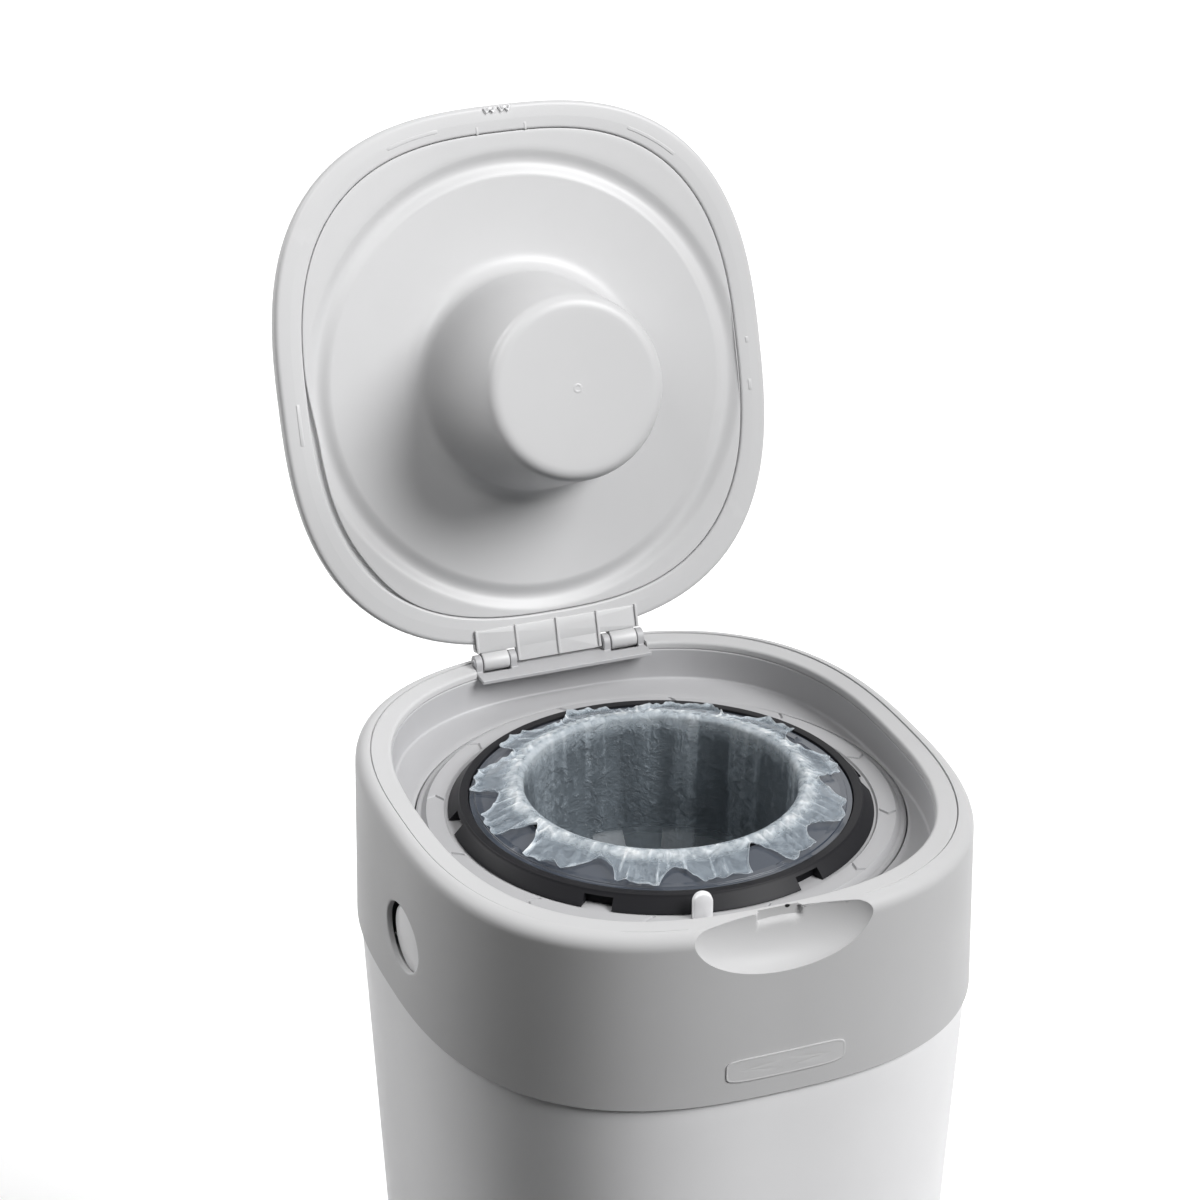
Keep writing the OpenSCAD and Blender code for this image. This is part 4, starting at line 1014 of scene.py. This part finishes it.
def cover_surfaces():
    """The cassette's cover: a turned ring with a flat rim, a fine step and a cone up to the throat, and small
    round nubs that stand on the step."""
    profile = rounded([(79.5, 417.8, 0.2), (79.5, 419.6, 0.5), (77.2, 419.6, 0.2), (76.9, 420.3, 0.2),
                       (74.4, 420.5, 0.8), (65.2, 424.4, 1.6), (62.3, 424.4, 0.6), (62.3, 421.9, 0.3),
                       (65.0, 422.6, 0.6), (74.4, 418.8, 0.5), (75.5, 417.8, 0.3)], 5)
    grid = turned(spread(profile, 1.0), 420)
    r = np.hypot(grid[..., 0], grid[..., 1] - WELL_Y)
    pitch, first_nub, nub_r = 45.0, 17.0, 75.6
    off = np.radians((np.degrees(circle(420)) - first_nub + pitch / 2) % pitch - pitch / 2)
    near = np.hypot(r - nub_r, r * off[None, :])
    grid[..., 2] += np.where(grid[..., 2] > 419.0, 0.9 * eased(1.5, 0.5, near), 0.0)
    return [ring(grid)]


def pack_surfaces():
    """The gathered film in the cassette: a turned block whose sides and top ripple in fine close pleats, the
    height of each pleat a sine of the angle with a slow wave on its phase."""
    inner, outer, low, high = 61.2, 79.0, 374.4, 413.6
    profile = rounded([(inner, low, 2.0), (outer, low, 2.0), (outer, high, 3.0), (inner, high, 3.0)], 5)
    profile = spread(profile, 2.5)
    grid = turned(profile, 540)
    t = circle(540)
    z = profile[:, 1:2]
    wave = np.sin(90 * t + 2.0 * np.sin(5 * t) + 0.4 * z) * 0.35 + np.sin(41 * t + 0.9 * z) * 0.2
    away = grid[..., :2] - [0.0, WELL_Y]
    out = away / np.linalg.norm(away, axis=-1, keepdims=True)
    sense = np.sign(profile[:, :1] - (inner + outer) / 2)
    grid[..., :2] -= out * (sense * (0.55 - wave))[..., None]
    grid[..., 2] -= np.where(z > 411.0, 0.4 - wave, 0.0)
    return [ring(grid)]


# ---------------------------------------------------------------- the film

# Angle, reach and half width (degrees) of each tab of film that lies out over the cover
TABS = [(152.7, 79.2, 7.0), (-177.5, 79.4, 8.2), (-150.2, 78.6, 9.0), (-119.4, 79.6, 7.4),
        (-92.0, 79.4, 8.6), (-64.2, 79.2, 7.2), (-34.3, 78.2, 9.2), (-4.4, 77.4, 8.4),
        (26.0, 78.8, 7.6), (59.0, 78.9, 8.8), (92.0, 78.6, 8.0), (123.6, 78.2, 8.6)]


def hashed(values, seed):
    """A fixed scatter between 0 and 1: the fraction of a large sine of each value."""
    return np.modf(np.abs(np.sin(np.asarray(values, float) * 12.9898 + seed * 78.233) * 43758.5453))[0]


def wander(t, seed, low=2, high=9):
    """A smooth closed wave round the circle, between about -1 and 1: a sum of sines with scattered phases."""
    k = np.arange(low, high)
    amp = (0.5 + hashed(k, seed)) / np.sqrt(high - low)
    phase = 2 * math.pi * hashed(k, seed + 7)
    return np.sum(amp[:, None] * np.sin(k[:, None] * t.ravel()[None, :] + phase[:, None]), 0).reshape(t.shape)


def crumpled(t, r, seed, low, high, lean):
    """A crumpled height over angle and radius: a sum of sines whose crests run at scattered slants, each
    sharpened by taking 1 less twice its size."""
    total = 0.0 * (t + r)
    for i in range(9):
        k = round(low + (high - low) * float(hashed(i, seed)))
        slope = lean * (2.0 * float(hashed(i, seed + 3)) - 1.0)
        phase = 6.3 * float(hashed(i, seed + 5))
        total = total + (1.0 - 2.0 * np.abs(np.sin(0.5 * (k * t + slope * r) + phase)))
    return total / 4.0


def film_edge(t):
    """How far out the film's edge lies at each angle: it reaches out in tabs and draws back in arcs between
    them. Also the angle off the nearest tab's middle, and the same in half widths of that tab's neck."""
    neck, farthest = 0.74, 79.4
    centre, far, half = (np.array(c, float)[:, None] for c in zip(*TABS))
    half = np.radians(half) * neck
    off = (t[None, :] - np.radians(centre) + math.pi) % (2 * math.pi) - math.pi
    beyond = np.abs(off) - half
    order = np.argsort(beyond, axis=0)
    nearest, columns = order[0], np.arange(len(t))
    gap = np.clip(beyond[nearest, columns], 0.0, None)
    other = np.clip(beyond[order[1], columns], 1e-3, None)
    off, far = off[nearest, columns], far[nearest, 0]
    u = off / half[nearest, 0]
    lean = 2.0 * hashed(nearest, 31) - 1.0
    phase = 6.3 * hashed(nearest, 33)
    between = np.clip(67.0 + 4.0 * wander(t, 21, 4, 12), 64.4, 73.0)
    arc = np.clip(1.0 - 2.0 * gap / (gap + other), 0.0, 1.0) ** 1.7
    ragged = 0.8 * np.sin(6.0 * u + phase) - 0.7 * (1.0 - u * u) + 1.2 * lean * u
    corner = far + 1.2 * lean * np.sign(u) + 0.8 * np.sin(6.0 * np.sign(u) + phase)
    reach = np.where(np.abs(u) <= 1.0, far + ragged, between + (corner - between) * arc) - 0.8
    return np.minimum(reach, farthest), off, u


def film_over_cover(t):
    """The film from its edge in over the cover and up to the lip: rows of (radius, z, angle), and how far it
    is folded over itself at each point, with painted highlights added on fold crests and in patches. Each
    tab spreads toward its end, as the angle from its middle grows with the radius. Folds fan out along the
    tabs, and the band round the lip is crumpled."""
    reach, off, u = film_edge(t)
    s = np.concatenate([np.linspace(0.0, 0.12, 6, endpoint=False), np.linspace(0.12, 1.0, 26)])[:, None]
    r = reach[None, :] * (1 - s) + 60.6 * s
    spreads = np.interp(r, [61.0, 69.0, 72.5, 80.0], [1.0, 0.86, 0.90, 1.18])
    angle = t[None, :] + (spreads - 1.0) * (off * eased(2.0, 1.0, np.abs(u)))[None, :]
    cone = np.interp(r, [60.0, 62.0, 66.0, 75.0, 84.0], [426.7, 426.1, 424.7, 421.3, 420.9])
    fan = crumpled(angle, 0.35 * r, 41, 60.0, 150.0, 1.0)
    rough = eased(67.5, 61.5, r)
    creased = crumpled(angle, r, 43, 24.0, 90.0, 2.6)
    edge = np.clip(1 - s / 0.16, 0, 1)
    curl = (1.25 + 0.8 * wander(t, 47, 8, 30)[None, :]) * edge ** 1.5
    lift = 0.8 + 0.5 * fan * (1 - rough) + 0.5 * creased * rough + curl + 0.45 * wander(t, 49, 4, 16)[None, :]
    sheet = np.stack([r, cone + np.maximum(lift, 0.32), angle], -1)
    # Painted highlights: whiter on the crests of the fanned folds and the creases of the crumpled band, and
    # in broad patches; where the film lies doubled, at its edge and in the crumpled band, the whitening is
    # real
    crest_highlight = np.clip(0.5 + 0.75 * fan, 0, 1.1) ** 2.4
    patch = 0.5 + 0.5 * wander(t, 57, 5, 30)[None, :]
    fold = 0.08 + 0.66 * crest_highlight * (0.35 + patch) + 0.34 * edge ** 1.3
    fold = fold + rough * (0.26 + 0.40 * np.clip(0.5 + 0.6 * creased, 0, 1) + 0.2 * patch)
    lip = np.stack([0 * t + 59.6, 0 * t + 427.15, t], -1)[None]
    lip_fold_and_highlight = 0.42 + 0.2 * creased[-1:] + 0.15 * patch
    return np.concatenate([sheet, lip]), np.concatenate([fold, lip_fold_and_highlight])


def film_down_throat(t):
    """The film from the lip down the throat, where it closes in to a funnel and a knot: rows of (radius, z,
    angle), and how far it is folded, with painted highlight streaks added. Its long soft pleats are sines of
    the angle with a slow wave on their phase."""
    z = np.array([426.9, 426.4, 425.8, 425.0, 423.6, 421.6, 419.0, 415.5, 411.0, 405.0, 397.0, 388.0,
                  380.0, 372.2, 364.0, 352.0, 342.0, 332.0, 318.0, 305.0, 289.0, 273.0, 265.0, 260.0,
                  257.0, 254.0, 250.0])[:, None]
    outline = np.interp(-z, [-426.9, -426.4, -425.8, -425.0, -400.0, -372.2, -352.0, -332.0, -305.0,
                             -273.0, -257.0, -252.0, -250.0],
                        [58.5, 57.6, 57.2, 57.1, 56.9, 56.2, 44.8, 44.8, 40.8, 27.8, 5.0, 5.6, 3.0])
    pleats = bpy.context.scene.bin_sizes.fold_count
    long = np.abs(np.sin(0.5 * pleats * (t + 0.11 * wander(t, 2, 2, 9)))) ** 1.4
    short = crumpled(t[None, :], 0.16 * z, 51, 60.0, 170.0, 1.0)
    broad = wander(t, 53, 3, 8)[None, :]
    depth = np.interp(-z, [-426.9, -421.0, -405.0, -372.0, -330.0, -273.0, -257.0, -250.0],
                      [0.0, 0.5, 2.1, 2.6, 2.6, 3.0, 0.8, 0.2])
    r = outline - depth * (0.62 * long[None, :] + 0.35 * np.clip(broad + 0.6, 0, 2))
    r = r - np.clip(0.35 * short * eased(426.0, 419.0, z), 0.0, None)
    tube = np.stack([r, z + 0 * r, t[None, :] + 0 * r], -1)
    # Painted highlights: bright streaks run down the throat, strongest near the lip
    highlight_streak = np.clip(wander(t, 59, 9, 60)[None, :] + 0.4 * short, 0, 1.2)
    plane = np.clip(wander(t, 61, 3, 13), 0, 1)[None, :]
    fold = 0.12 * plane + highlight_streak * (0.03 + 0.09 * eased(385.0, 424.0, z))
    fold = fold + 0.34 * eased(411.0, 426.0, z) ** 3
    end = np.stack([0 * t, 0 * t + 249.8, t], -1)[None]
    return np.concatenate([tube, end]), np.concatenate([fold, 0 * t[None] + 0.8])


def film_surfaces():
    """The film: one sheet lofted over the angle and the distance along it, from its ragged edge in over the
    cover, over the lip and down the throat. Also how far it is folded at each point, with painted
    highlights added to that value."""
    t = circle(780)
    over, over_fold = film_over_cover(t)
    down, down_fold = film_down_throat(t)
    path = np.concatenate([over, down])
    r, z, angle = path[..., 0], np.minimum(path[..., 1], 428.4), path[..., 2]
    grid = np.stack([r * np.cos(angle), WELL_Y + r * np.sin(angle), z], -1)
    return surface(grid), np.concatenate([over_fold, down_fold])


def build_film():
    """The film piece: its lofted sheet, the value of its folds and painted highlights at each point, and a
    thin wall.
    """
    sheet, fold = film_surfaces()
    piece = make_piece("film_sheet", [sheet], "cassette", "film", ("film_liner",), smooth=80.0,
                       mask=np.clip(fold, 0.0, 1.0))
    wall = piece.modifiers.new("Thin wall", "SOLIDIFY")
    wall.thickness, wall.offset = 0.12 * MM, 0.0
    return piece


# ---------------------------------------------------------------- the lid

def lid_grid(rows, t):
    """Rows (inset, height above the seat) of the shut lid as a grid of points."""
    inset, high = np.array(rows, float).T
    levels = np.stack([np.maximum(size("lid_width") / 2 - inset, 0.01),
                       np.maximum(size("lid_depth") / 2 - inset, 0.01), SEAT_Z + high, 0 * high + LID_CY], 1)
    return levels_grid(levels, t, LID_SQUARE)


def cover_rows():
    """Section of the lid's cover: in under its roof, the lip that rolls round its edge, and over the crown,
    which rises as 17.2 times the 0.437th power of 1 less the cube of the share still to go to the middle."""
    u = np.array([0.0, 0.15, 0.4, 0.8, 1.4, 2.2, 3.2, 4.6, 6.5, 9.0, 12.0, 16.0, 21.0, 27.0, 34.0, 42.0,
                  52.0, 64.0, 78.0, 94.0, 108.0])
    crown = np.stack([u, 5.0 + 17.2 * (1.0 - np.clip(1.0 - u / 95.0, 0.0, 1.0) ** 3) ** 0.437], 1)
    wall = 2.2
    roof = np.stack([u[::-1][:-6] + wall, crown[::-1][:-6, 1] - wall], 1)
    lip = rounded([(2.6, 7.0, 0.0), (2.6, 2.4, 0.8), (11.6, 2.6, 0.3), (11.6, 0.0, 1.7), (6.5, 0.0, 2.0),
                   (0.0, 0.35, 3.6), (0.0, 5.0, 0.0)], 8, False)
    return np.concatenate([roof, lip, crown[1:]])


def cover_shell_surfaces():
    """The lid's outer cover, a section swept round its outline, with the flange and its ribs at the hinge,
    the arms and the knuckles. All of it is turned open."""
    rows = cover_rows()
    rows = np.concatenate([rows[:1], spread(rows, 6.0, False)[1:]])
    parts = [solid(lid_grid(rows, circle(480))),
             surface(bar((-38.0, 38.0), (103.6, 113.4), (429.25, 434.6), 0.4, 0.8)),
             surface(bar((-19.8, 19.8), (104.6, 119.6), (429.3, 432.4), 0.4, 0.8))]
    for x, y in ((-38.0, 113.4), (-19.6, 119.2), (-0.6, 119.2), (18.4, 119.2), (36.8, 113.4)):
        parts.append(surface(bar((x, x + 1.2), (103.2, y), (428.4, 431.0), 0.3, 0.4)))
    knuckle = rounded([(1.85, 24.0, 0.0), (4.0, 24.0, 0.5), (4.0, 36.0, 0.5), (1.85, 36.0, 0.0)], 4)
    along, across, up = rod(knuckle, circle(40))
    plan = rounded([(24.0, 110.6, 1.0), (36.0, 110.6, 1.0), (36.0, 116.2, 0.4), (24.0, 116.2, 0.4)], 4)
    arm = slab(plan, 4.6, 0.5) + np.array([0.0, 0.0, SEAT_Z])
    for side in (-1.0, 1.0):
        parts.append(ring(np.stack([side * along, HINGE[0] + across, HINGE[1] + up], -1)))
        parts.append(surface(arm * np.array([side, 1.0, 1.0])))
    return [(opened(points), faces) for points, faces in parts]


def face_reach(t):
    """How far the lid's inner face reaches from the plunger's axis at each angle: twelve rounds of stepping
    out to the face's rounded square, which has its middle elsewhere, less a shallow gap at the left side."""
    inset, start, gap, gap_middle = 11.85, 99.0, 2.3, 156.0
    half_w, half_d = size("lid_width") / 2 - inset, size("lid_depth") / 2 - inset
    reach = np.full(len(t), start)
    for _ in range(12):
        x, y = reach * np.cos(t), reach * np.sin(t) - (LID_CY - WELL_Y)
        reach = reach + (oval_radius(np.arctan2(y, x), half_w, half_d, LID_SQUARE) - np.hypot(x, y))
    off = np.abs((np.degrees(t) - gap_middle + 180.0) % 360.0 - 180.0)
    return reach - gap * eased(34.0, 14.0, off)


def sunk(r):
    """How far the round groove sinks at a radius: its depth times the square of a cosine across its width."""
    deep, half_wide = 1.9, 6.4
    w = np.clip((r - size("groove_radius")) / half_wide, -1.0, 1.0)
    return deep * np.cos(w * math.pi / 2) ** 2


def inside_surfaces():
    """The lid's inner face: rings about the plunger's axis. From the plunger's tip they run out over its
    rounded end, up its side, through a soft fillet onto the face, across the round groove, and out to the
    face's own rounded-square edge, where they turn down into the cover and come back under."""
    t = circle(540)
    face, flat_end = 0.5, 87.0
    tip = face - size("plunger_length")
    wide, root = size("plunger_tip"), size("plunger_root")
    nose = rounded([(0.0, tip + 0.12, 0.0), (0.9, tip + 0.12, 0.1), (1.2, tip, 0.1), (1.7, tip, 0.1),
                    (2.1, tip + 0.15, 0.2), (9.0, tip + 0.15, 1.0), (wide - 0.4, tip + 0.1, 6.4),
                    (root - 2.6, face - 7.0, 0.0)], 11, False)
    side = spread(nose, 3.0, False)
    side = side[side[:, 1] < face - 18.5]
    fillet = rounded([(root - 4.2, face - 18.0, 0.0), (root - 1.58, face, 12.0),
                      (root + 20.0, face, 0.0)], 18, False)
    flat = np.stack([np.linspace(root + 21.0, flat_end, 7), np.full(7, face)], 1)
    front = np.concatenate([side, fillet[:-1], flat])
    reach = face_reach(t)
    far = np.minimum(100.2, reach - 0.5)
    groove_r = flat_end + (far - flat_end) * np.linspace(0.0, 1.0, 30)[1:, None]
    out_r = far + (reach - 0.5 - far) * np.linspace(0.0, 1.0, 7)[1:-1, None]
    bend = np.linspace(0.0, math.pi / 2, 5)[:, None]
    edge_r = reach - 0.5 + 0.5 * np.sin(bend)
    edge_h = face + 0.5 * (1 - np.cos(bend)) + 0 * edge_r
    back = [(reach, 4.3), (reach - 3.0, 4.4), (root - 0.5, 4.4), (wide - 2.5, tip + 7.0),
            (wide - 6.0, tip + 2.6), (0.0, tip + 2.6)]
    r = [front[:, :1] + 0 * t, groove_r, out_r, edge_r] + [(out + 0 * t)[None] for out, _ in back]
    h = [front[:, 1:] + 0 * t, face + sunk(groove_r), face + sunk(out_r), edge_h]
    r, h = np.concatenate(r), np.concatenate(h + [(high + 0 * t)[None] for _, high in back])
    points, faces = surface(np.stack([r * np.cos(t), WELL_Y + r * np.sin(t), SEAT_Z + h], -1))
    # A thin tray behind the gap keeps the cover's inside out of sight
    section = rounded([(4.4, 2.75, 0.2), (4.4, 4.2, 0.2), (16.0, 4.2, 0.2), (16.0, 2.75, 0.2)], 3)
    tray, tray_faces = ring(lid_grid(section, circle(480)))
    return [(opened(points), faces), (opened(tray), tray_faces)]


def lip_y(x, inset):
    """The y of the lid's front outline above x, drawn in by inset."""
    return LID_CY - oval_reach(x, size("lid_width") / 2 - inset, size("lid_depth") / 2 - inset, LID_SQUARE)


def lip_strip(x0, x1):
    """A raised strip on the lip that follows its outline from x0 to x1: a flat section carried along, lower
    and narrower at its two ends."""
    inset, half, high, low = 7.2, 0.75, 0.25, -0.3
    s = np.linspace(0.0, 1.0, 24)
    x = x0 + (x1 - x0) * s
    y = lip_y(x, inset)
    tangent = np.gradient(np.stack([x, y], 1), axis=0)
    tangent /= np.linalg.norm(tangent, axis=1, keepdims=True)
    normal = np.stack([-tangent[:, 1], tangent[:, 0]], 1)
    section = rounded([(-half, low, 0.0), (-half, high, 0.4), (half, high, 0.4), (half, low, 0.0)], 5)
    ends = np.clip(np.minimum(s, 1 - s) / 0.06, 0.0, 1.0)[:, None] ** 0.5
    p = section[None, :, 0] * (0.35 + 0.65 * ends)
    q = low + (section[None, :, 1] - low) * ends
    return solid(np.stack([x[:, None] + normal[:, :1] * p, y[:, None] + normal[:, 1:] * p, SEAT_Z - q], -1))


def trim_surfaces():
    """The small mouldings on the lid's lip: two long raised strips near the front, two short ribs between
    them, and low clips at the sides, which are blocks with eased edges laid on the lip."""
    parts = [lip_strip(-52.0, -27.0), lip_strip(58.0, 80.0)]
    z = (SEAT_Z - 0.25, SEAT_Z + 1.0)
    for x in (-10.0, 12.0):
        y = float(lip_y(x, 0.0)) + 10.2
        parts.append(surface(bar((x - 0.5, x + 0.5), (y - 1.6, y + 1.6), z, 0.2, 0.3)))
    for x, y, long in ((-104.2, 3.0, 18.0), (103.6, 14.0, 5.0), (104.4, -6.0, 2.6)):
        parts.append(surface(bar((x - 0.8, x + 0.8), (y - long / 2, y + long / 2), z, 0.2, 0.6)))
    return [(opened(points), faces) for points, faces in parts]


def hook_surfaces():
    """The two catch hooks: folded blades that stand from the lip, each a W in plan carried through its
    height."""
    fold = np.array([(-2.7, 1.3), (-1.55, -1.1), (0.0, 0.7), (1.55, -1.1), (2.7, 1.3)])
    back = fold + [(0.4, 0.7), (0.0, 1.4), (0.0, 1.2), (0.0, 1.4), (-0.4, 0.7)]
    outline = rounded([(u, v, 0.2) for u, v in np.concatenate([fold, back[::-1]])], 4)
    tall, front_y = 1.2, -119.5
    g = slab(spread(outline, 0.4), tall, 0.2)
    blades = [surface(np.stack([x + g[..., 0], front_y - g[..., 1], SEAT_Z + 0.3 - g[..., 2]], -1))
              for x in (-3.4, 3.4)]
    return [(opened(points), faces) for points, faces in blades]


# ---------------------------------------------------------------- operators

class BinOperator:
    """What the bin's operators share."""
    bl_options = {"REGISTER", "UNDO"}


class BIN_OT_tub(BinOperator, bpy.types.Operator):
    """Builds the white tub and gives its foot pads their rubber"""
    bl_idname = "bin.tub"
    bl_label = "Tub"

    def execute(self, context):
        make_piece("tub_moulding", tub_surfaces(), "tub", "tub_white", ("tub_shell",))
        pads = frame["nodes"]["foot_pads"].data
        pads.materials.clear()
        pads.materials.append(finish("rubber"))
        return {"FINISHED"}


class BIN_OT_collar(BinOperator, bpy.types.Operator):
    """Builds the grey collar with its scoop and windows"""
    bl_idname = "bin.collar"
    bl_label = "Collar"

    def execute(self, context):
        tree = finish("collar_grey").node_tree
        hole = node(tree, "ShaderNodeGroup", node_tree=painted_hole_shade()).outputs["Mask"]
        base = tree.nodes["Principled BSDF"].inputs["Base Color"]
        # Painted shade: the pin hole is a near-black spot blended into the collar's colour
        dark = (0.01, 0.01, 0.01, 1.0)
        tree.links.new(blended(tree, hole, base.links[0].from_socket, dark), base)
        make_piece("collar_moulding", collar_surfaces(), "collar", "collar_grey", ("collar_shell",),
                   merge=8e-6)
        make_piece("badge_bare", badge_surfaces(), "collar", "badge", ("badge_plate",), smooth=50.0)
        return {"FINISHED"}


class BIN_OT_inner_frame(BinOperator, bpy.types.Operator):
    """Builds the inner frame and dresses the housing under it"""
    bl_idname = "bin.inner_frame"
    bl_label = "Inner frame and housing"

    def execute(self, context):
        make_piece("frame_moulding", frame_surfaces(), "collar", "frame_grey", ("inner_frame",))
        dressed("hinge_strip", "collar", "frame_grey", 0.4)
        for name in ("ring_housing", "nappy_fingers", "click_pawl"):
            dressed(name, "collar", "inner_grey")
        dressed("button_brackets", "collar", "inner_grey", shape=roomier)
        dressed("ratchet_ring", "ring", "inner_grey")
        dressed("housing_screws", "collar", "steel", 0.3)
        dressed("hinge_pins", "collar", "steel")
        return {"FINISHED"}


class BIN_OT_buttons(BinOperator, bpy.types.Operator):
    """Builds the release buttons and their coil springs"""
    bl_idname = "bin.buttons"
    bl_label = "Release buttons"

    def execute(self, context):
        for side, word in ((-1.0, "left"), (1.0, "right")):
            make_piece("button_" + word, button_surfaces(side), "button_" + word, "white_part",
                       ("release_button_" + word,))
            make_piece("coil_" + word, spring_surfaces(side), "collar", "steel",
                       ("release_spring_" + word,), smooth=80.0)
        return {"FINISHED"}


class BIN_OT_ring(BinOperator, bpy.types.Operator):
    """Builds the twist ring with its arrows, and the cassette's catch"""
    bl_idname = "bin.ring"
    bl_label = "Twist ring"

    def execute(self, context):
        make_piece("ring_moulding", ring_surfaces(), "ring", "lid_grey", ("twist_ring",), "frame_grey")
        make_piece("catch_peg", catch_surfaces(), "catch", "white_part", ("cassette_catch",))
        return {"FINISHED"}


class BIN_OT_cassette(BinOperator, bpy.types.Operator):
    """Builds the film cassette, its cover and the gathered film"""
    bl_idname = "bin.cassette"
    bl_label = "Cassette"

    def execute(self, context):
        make_piece("cassette_moulding", cassette_surfaces(), "cassette", "cassette_black", ("cassette_body",))
        make_piece("cover_moulding", cover_surfaces(), "cassette", "cover_navy", ("cassette_cover",))
        make_piece("gathered_film", pack_surfaces(), "cassette", "film", ("film_pack",), smooth=80.0)
        return {"FINISHED"}


class BIN_OT_film(BinOperator, bpy.types.Operator):
    """Builds the film drawn over the cassette and down its throat"""
    bl_idname = "bin.film"
    bl_label = "Film"

    def execute(self, context):
        build_film()
        return {"FINISHED"}


class BIN_OT_lid(BinOperator, bpy.types.Operator):
    """Builds the open lid: cover, inner face with plunger, trim and hooks"""
    bl_idname = "bin.lid"
    bl_label = "Lid"

    def execute(self, context):
        make_piece("lid_cover", cover_shell_surfaces(), "lid", "lid_grey", ("lid_shell",))
        make_piece("lid_inside", inside_surfaces(), "lid", "lid_grey", ("lid_panel", "lid_plunger"))
        make_piece("lid_trim", trim_surfaces(), "lid", "lid_grey")
        # Painted highlight: the hooks are the lid's grey, and the white finish makes their strokes read
        # bright
        make_piece("lid_catches", hook_surfaces(), "lid", "lid_grey", ("lid_hooks",), "white_part")
        return {"FINISHED"}


def placed(name, data, location, towards, forward="Z"):
    """An object in the scene whose forward axis points along a direction."""
    made = bpy.data.objects.new(name, data)
    bpy.context.scene.collection.objects.link(made)
    made.rotation_mode = "QUATERNION"
    made.rotation_quaternion = Vector(towards).to_track_quat(forward, "Y")
    made.location = location
    return made


def sun(name, towards, strength, spread_angle):
    """A soft distant lamp that shines from the given direction."""
    lamp = bpy.data.lights.new(name, "SUN")
    lamp.energy, lamp.angle = strength, math.radians(spread_angle)
    placed(name, lamp, Vector(towards) * 2.0, towards)


def lid_lamp():
    """A small round lamp to the left, aimed at the lid's inner face, that the camera doesn't see."""
    lamp = bpy.data.lights.new("lid_light", "AREA")
    lamp.shape, lamp.size, lamp.energy = "DISK", 0.2, 0.44
    at = Vector((-0.18, -0.03, 0.81))
    placed("lid_light", lamp, at, at - Vector((0.0, 0.08, 0.56))).visible_camera = False


def studio_world():
    """A white world that shows at full strength where it is seen, and hardly lights the scene."""
    world = bpy.data.worlds.new("Studio")
    bpy.context.scene.world = world
    world.use_nodes = True
    tree = world.node_tree
    feed(tree, tree.nodes["Background"], {"Color": (1.0, 1.0, 1.0, 1.0),
                                          "Strength": carried(tree, lit_ray(tree), 0.0, 1.0, 0.02, 1.0)})


def pale_floor():
    """A wide flat floor at z 0."""
    half = 6.0
    mesh = bpy.data.meshes.new("floor")
    mesh.from_pydata([(-half, -half, 0), (half, -half, 0), (half, half, 0), (-half, half, 0)], [],
                     [(0, 1, 2, 3)])
    floor = bpy.data.objects.new("floor", mesh)
    bpy.context.scene.collection.objects.link(floor)
    floor.data.materials.append(floor_finish())


def photo_camera():
    """The camera, where the photo was taken from."""
    camera = bpy.data.cameras.new("camera")
    camera.lens, camera.sensor_width = CAMERA_LENS, CAMERA_SENSOR
    camera.clip_start, camera.clip_end = 0.05, 50.0
    a, e = math.radians(CAMERA_AZIMUTH), math.radians(CAMERA_ELEVATION)
    away = Vector((math.sin(a) * math.cos(e), -math.cos(a) * math.cos(e), math.sin(e)))
    at = Vector(CAMERA_AIM) + away * CAMERA_DISTANCE
    bpy.context.scene.camera = placed("camera", camera, at, -away, "-Z")


class BIN_OT_stage(BinOperator, bpy.types.Operator):
    """Builds the pale floor, the soft light and the camera"""
    bl_idname = "bin.stage"
    bl_label = "Floor, light and camera"

    def execute(self, context):
        context.scene.view_settings.view_transform = "Standard"
        pale_floor()
        sun("key_light", (0.49, -0.56, 0.67), 3.8, 34.0)
        sun("back_light", (-0.64, 0.62, 0.46), 1.6, 34.0)
        sun("top_light", (0.0, 0.0, 1.0), 0.05, 40.0)
        lid_lamp()
        studio_world()
        photo_camera()
        return {"FINISHED"}


class BIN_PT_panel(bpy.types.Panel):
    """Lists the bin's pieces, its sizes and its colours"""
    bl_label = "Nappy bin"
    bl_idname = "BIN_PT_panel"
    bl_space_type = "VIEW_3D"
    bl_region_type = "UI"
    bl_category = "Nappy bin"

    def draw(self, context):
        column = self.layout.column(align=True)
        for operator in OPERATORS:
            column.operator(operator.bl_idname)
        for settings in (context.scene.bin_sizes, context.scene.bin_colours):
            column = self.layout.column(align=True)
            for name in settings.bl_rna.properties.keys()[2:]:
                column.prop(settings, name)


OPERATORS = (BIN_OT_tub, BIN_OT_collar, BIN_OT_inner_frame, BIN_OT_buttons, BIN_OT_ring, BIN_OT_cassette,
             BIN_OT_film, BIN_OT_lid, BIN_OT_stage)
CLASSES = (BinSizes, BinColours) + OPERATORS + (BIN_PT_panel,)


def register():
    """Adds the bin's settings, operators and panel to Blender."""
    for cls in CLASSES:
        bpy.utils.register_class(cls)
    bpy.types.Scene.bin_sizes = PointerProperty(type=BinSizes)
    bpy.types.Scene.bin_colours = PointerProperty(type=BinColours)


def unregister():
    """Takes them out again."""
    del bpy.types.Scene.bin_sizes
    del bpy.types.Scene.bin_colours
    for cls in reversed(CLASSES):
        bpy.utils.unregister_class(cls)


def main():
    """Builds every piece in order."""
    register()
    for operator in OPERATORS:
        area, name = operator.bl_idname.split(".")
        if getattr(getattr(bpy.ops, area), name)() != {"FINISHED"}:
            raise RuntimeError(operator.bl_label + " wasn't built")


if __name__ == "__main__":
    main()
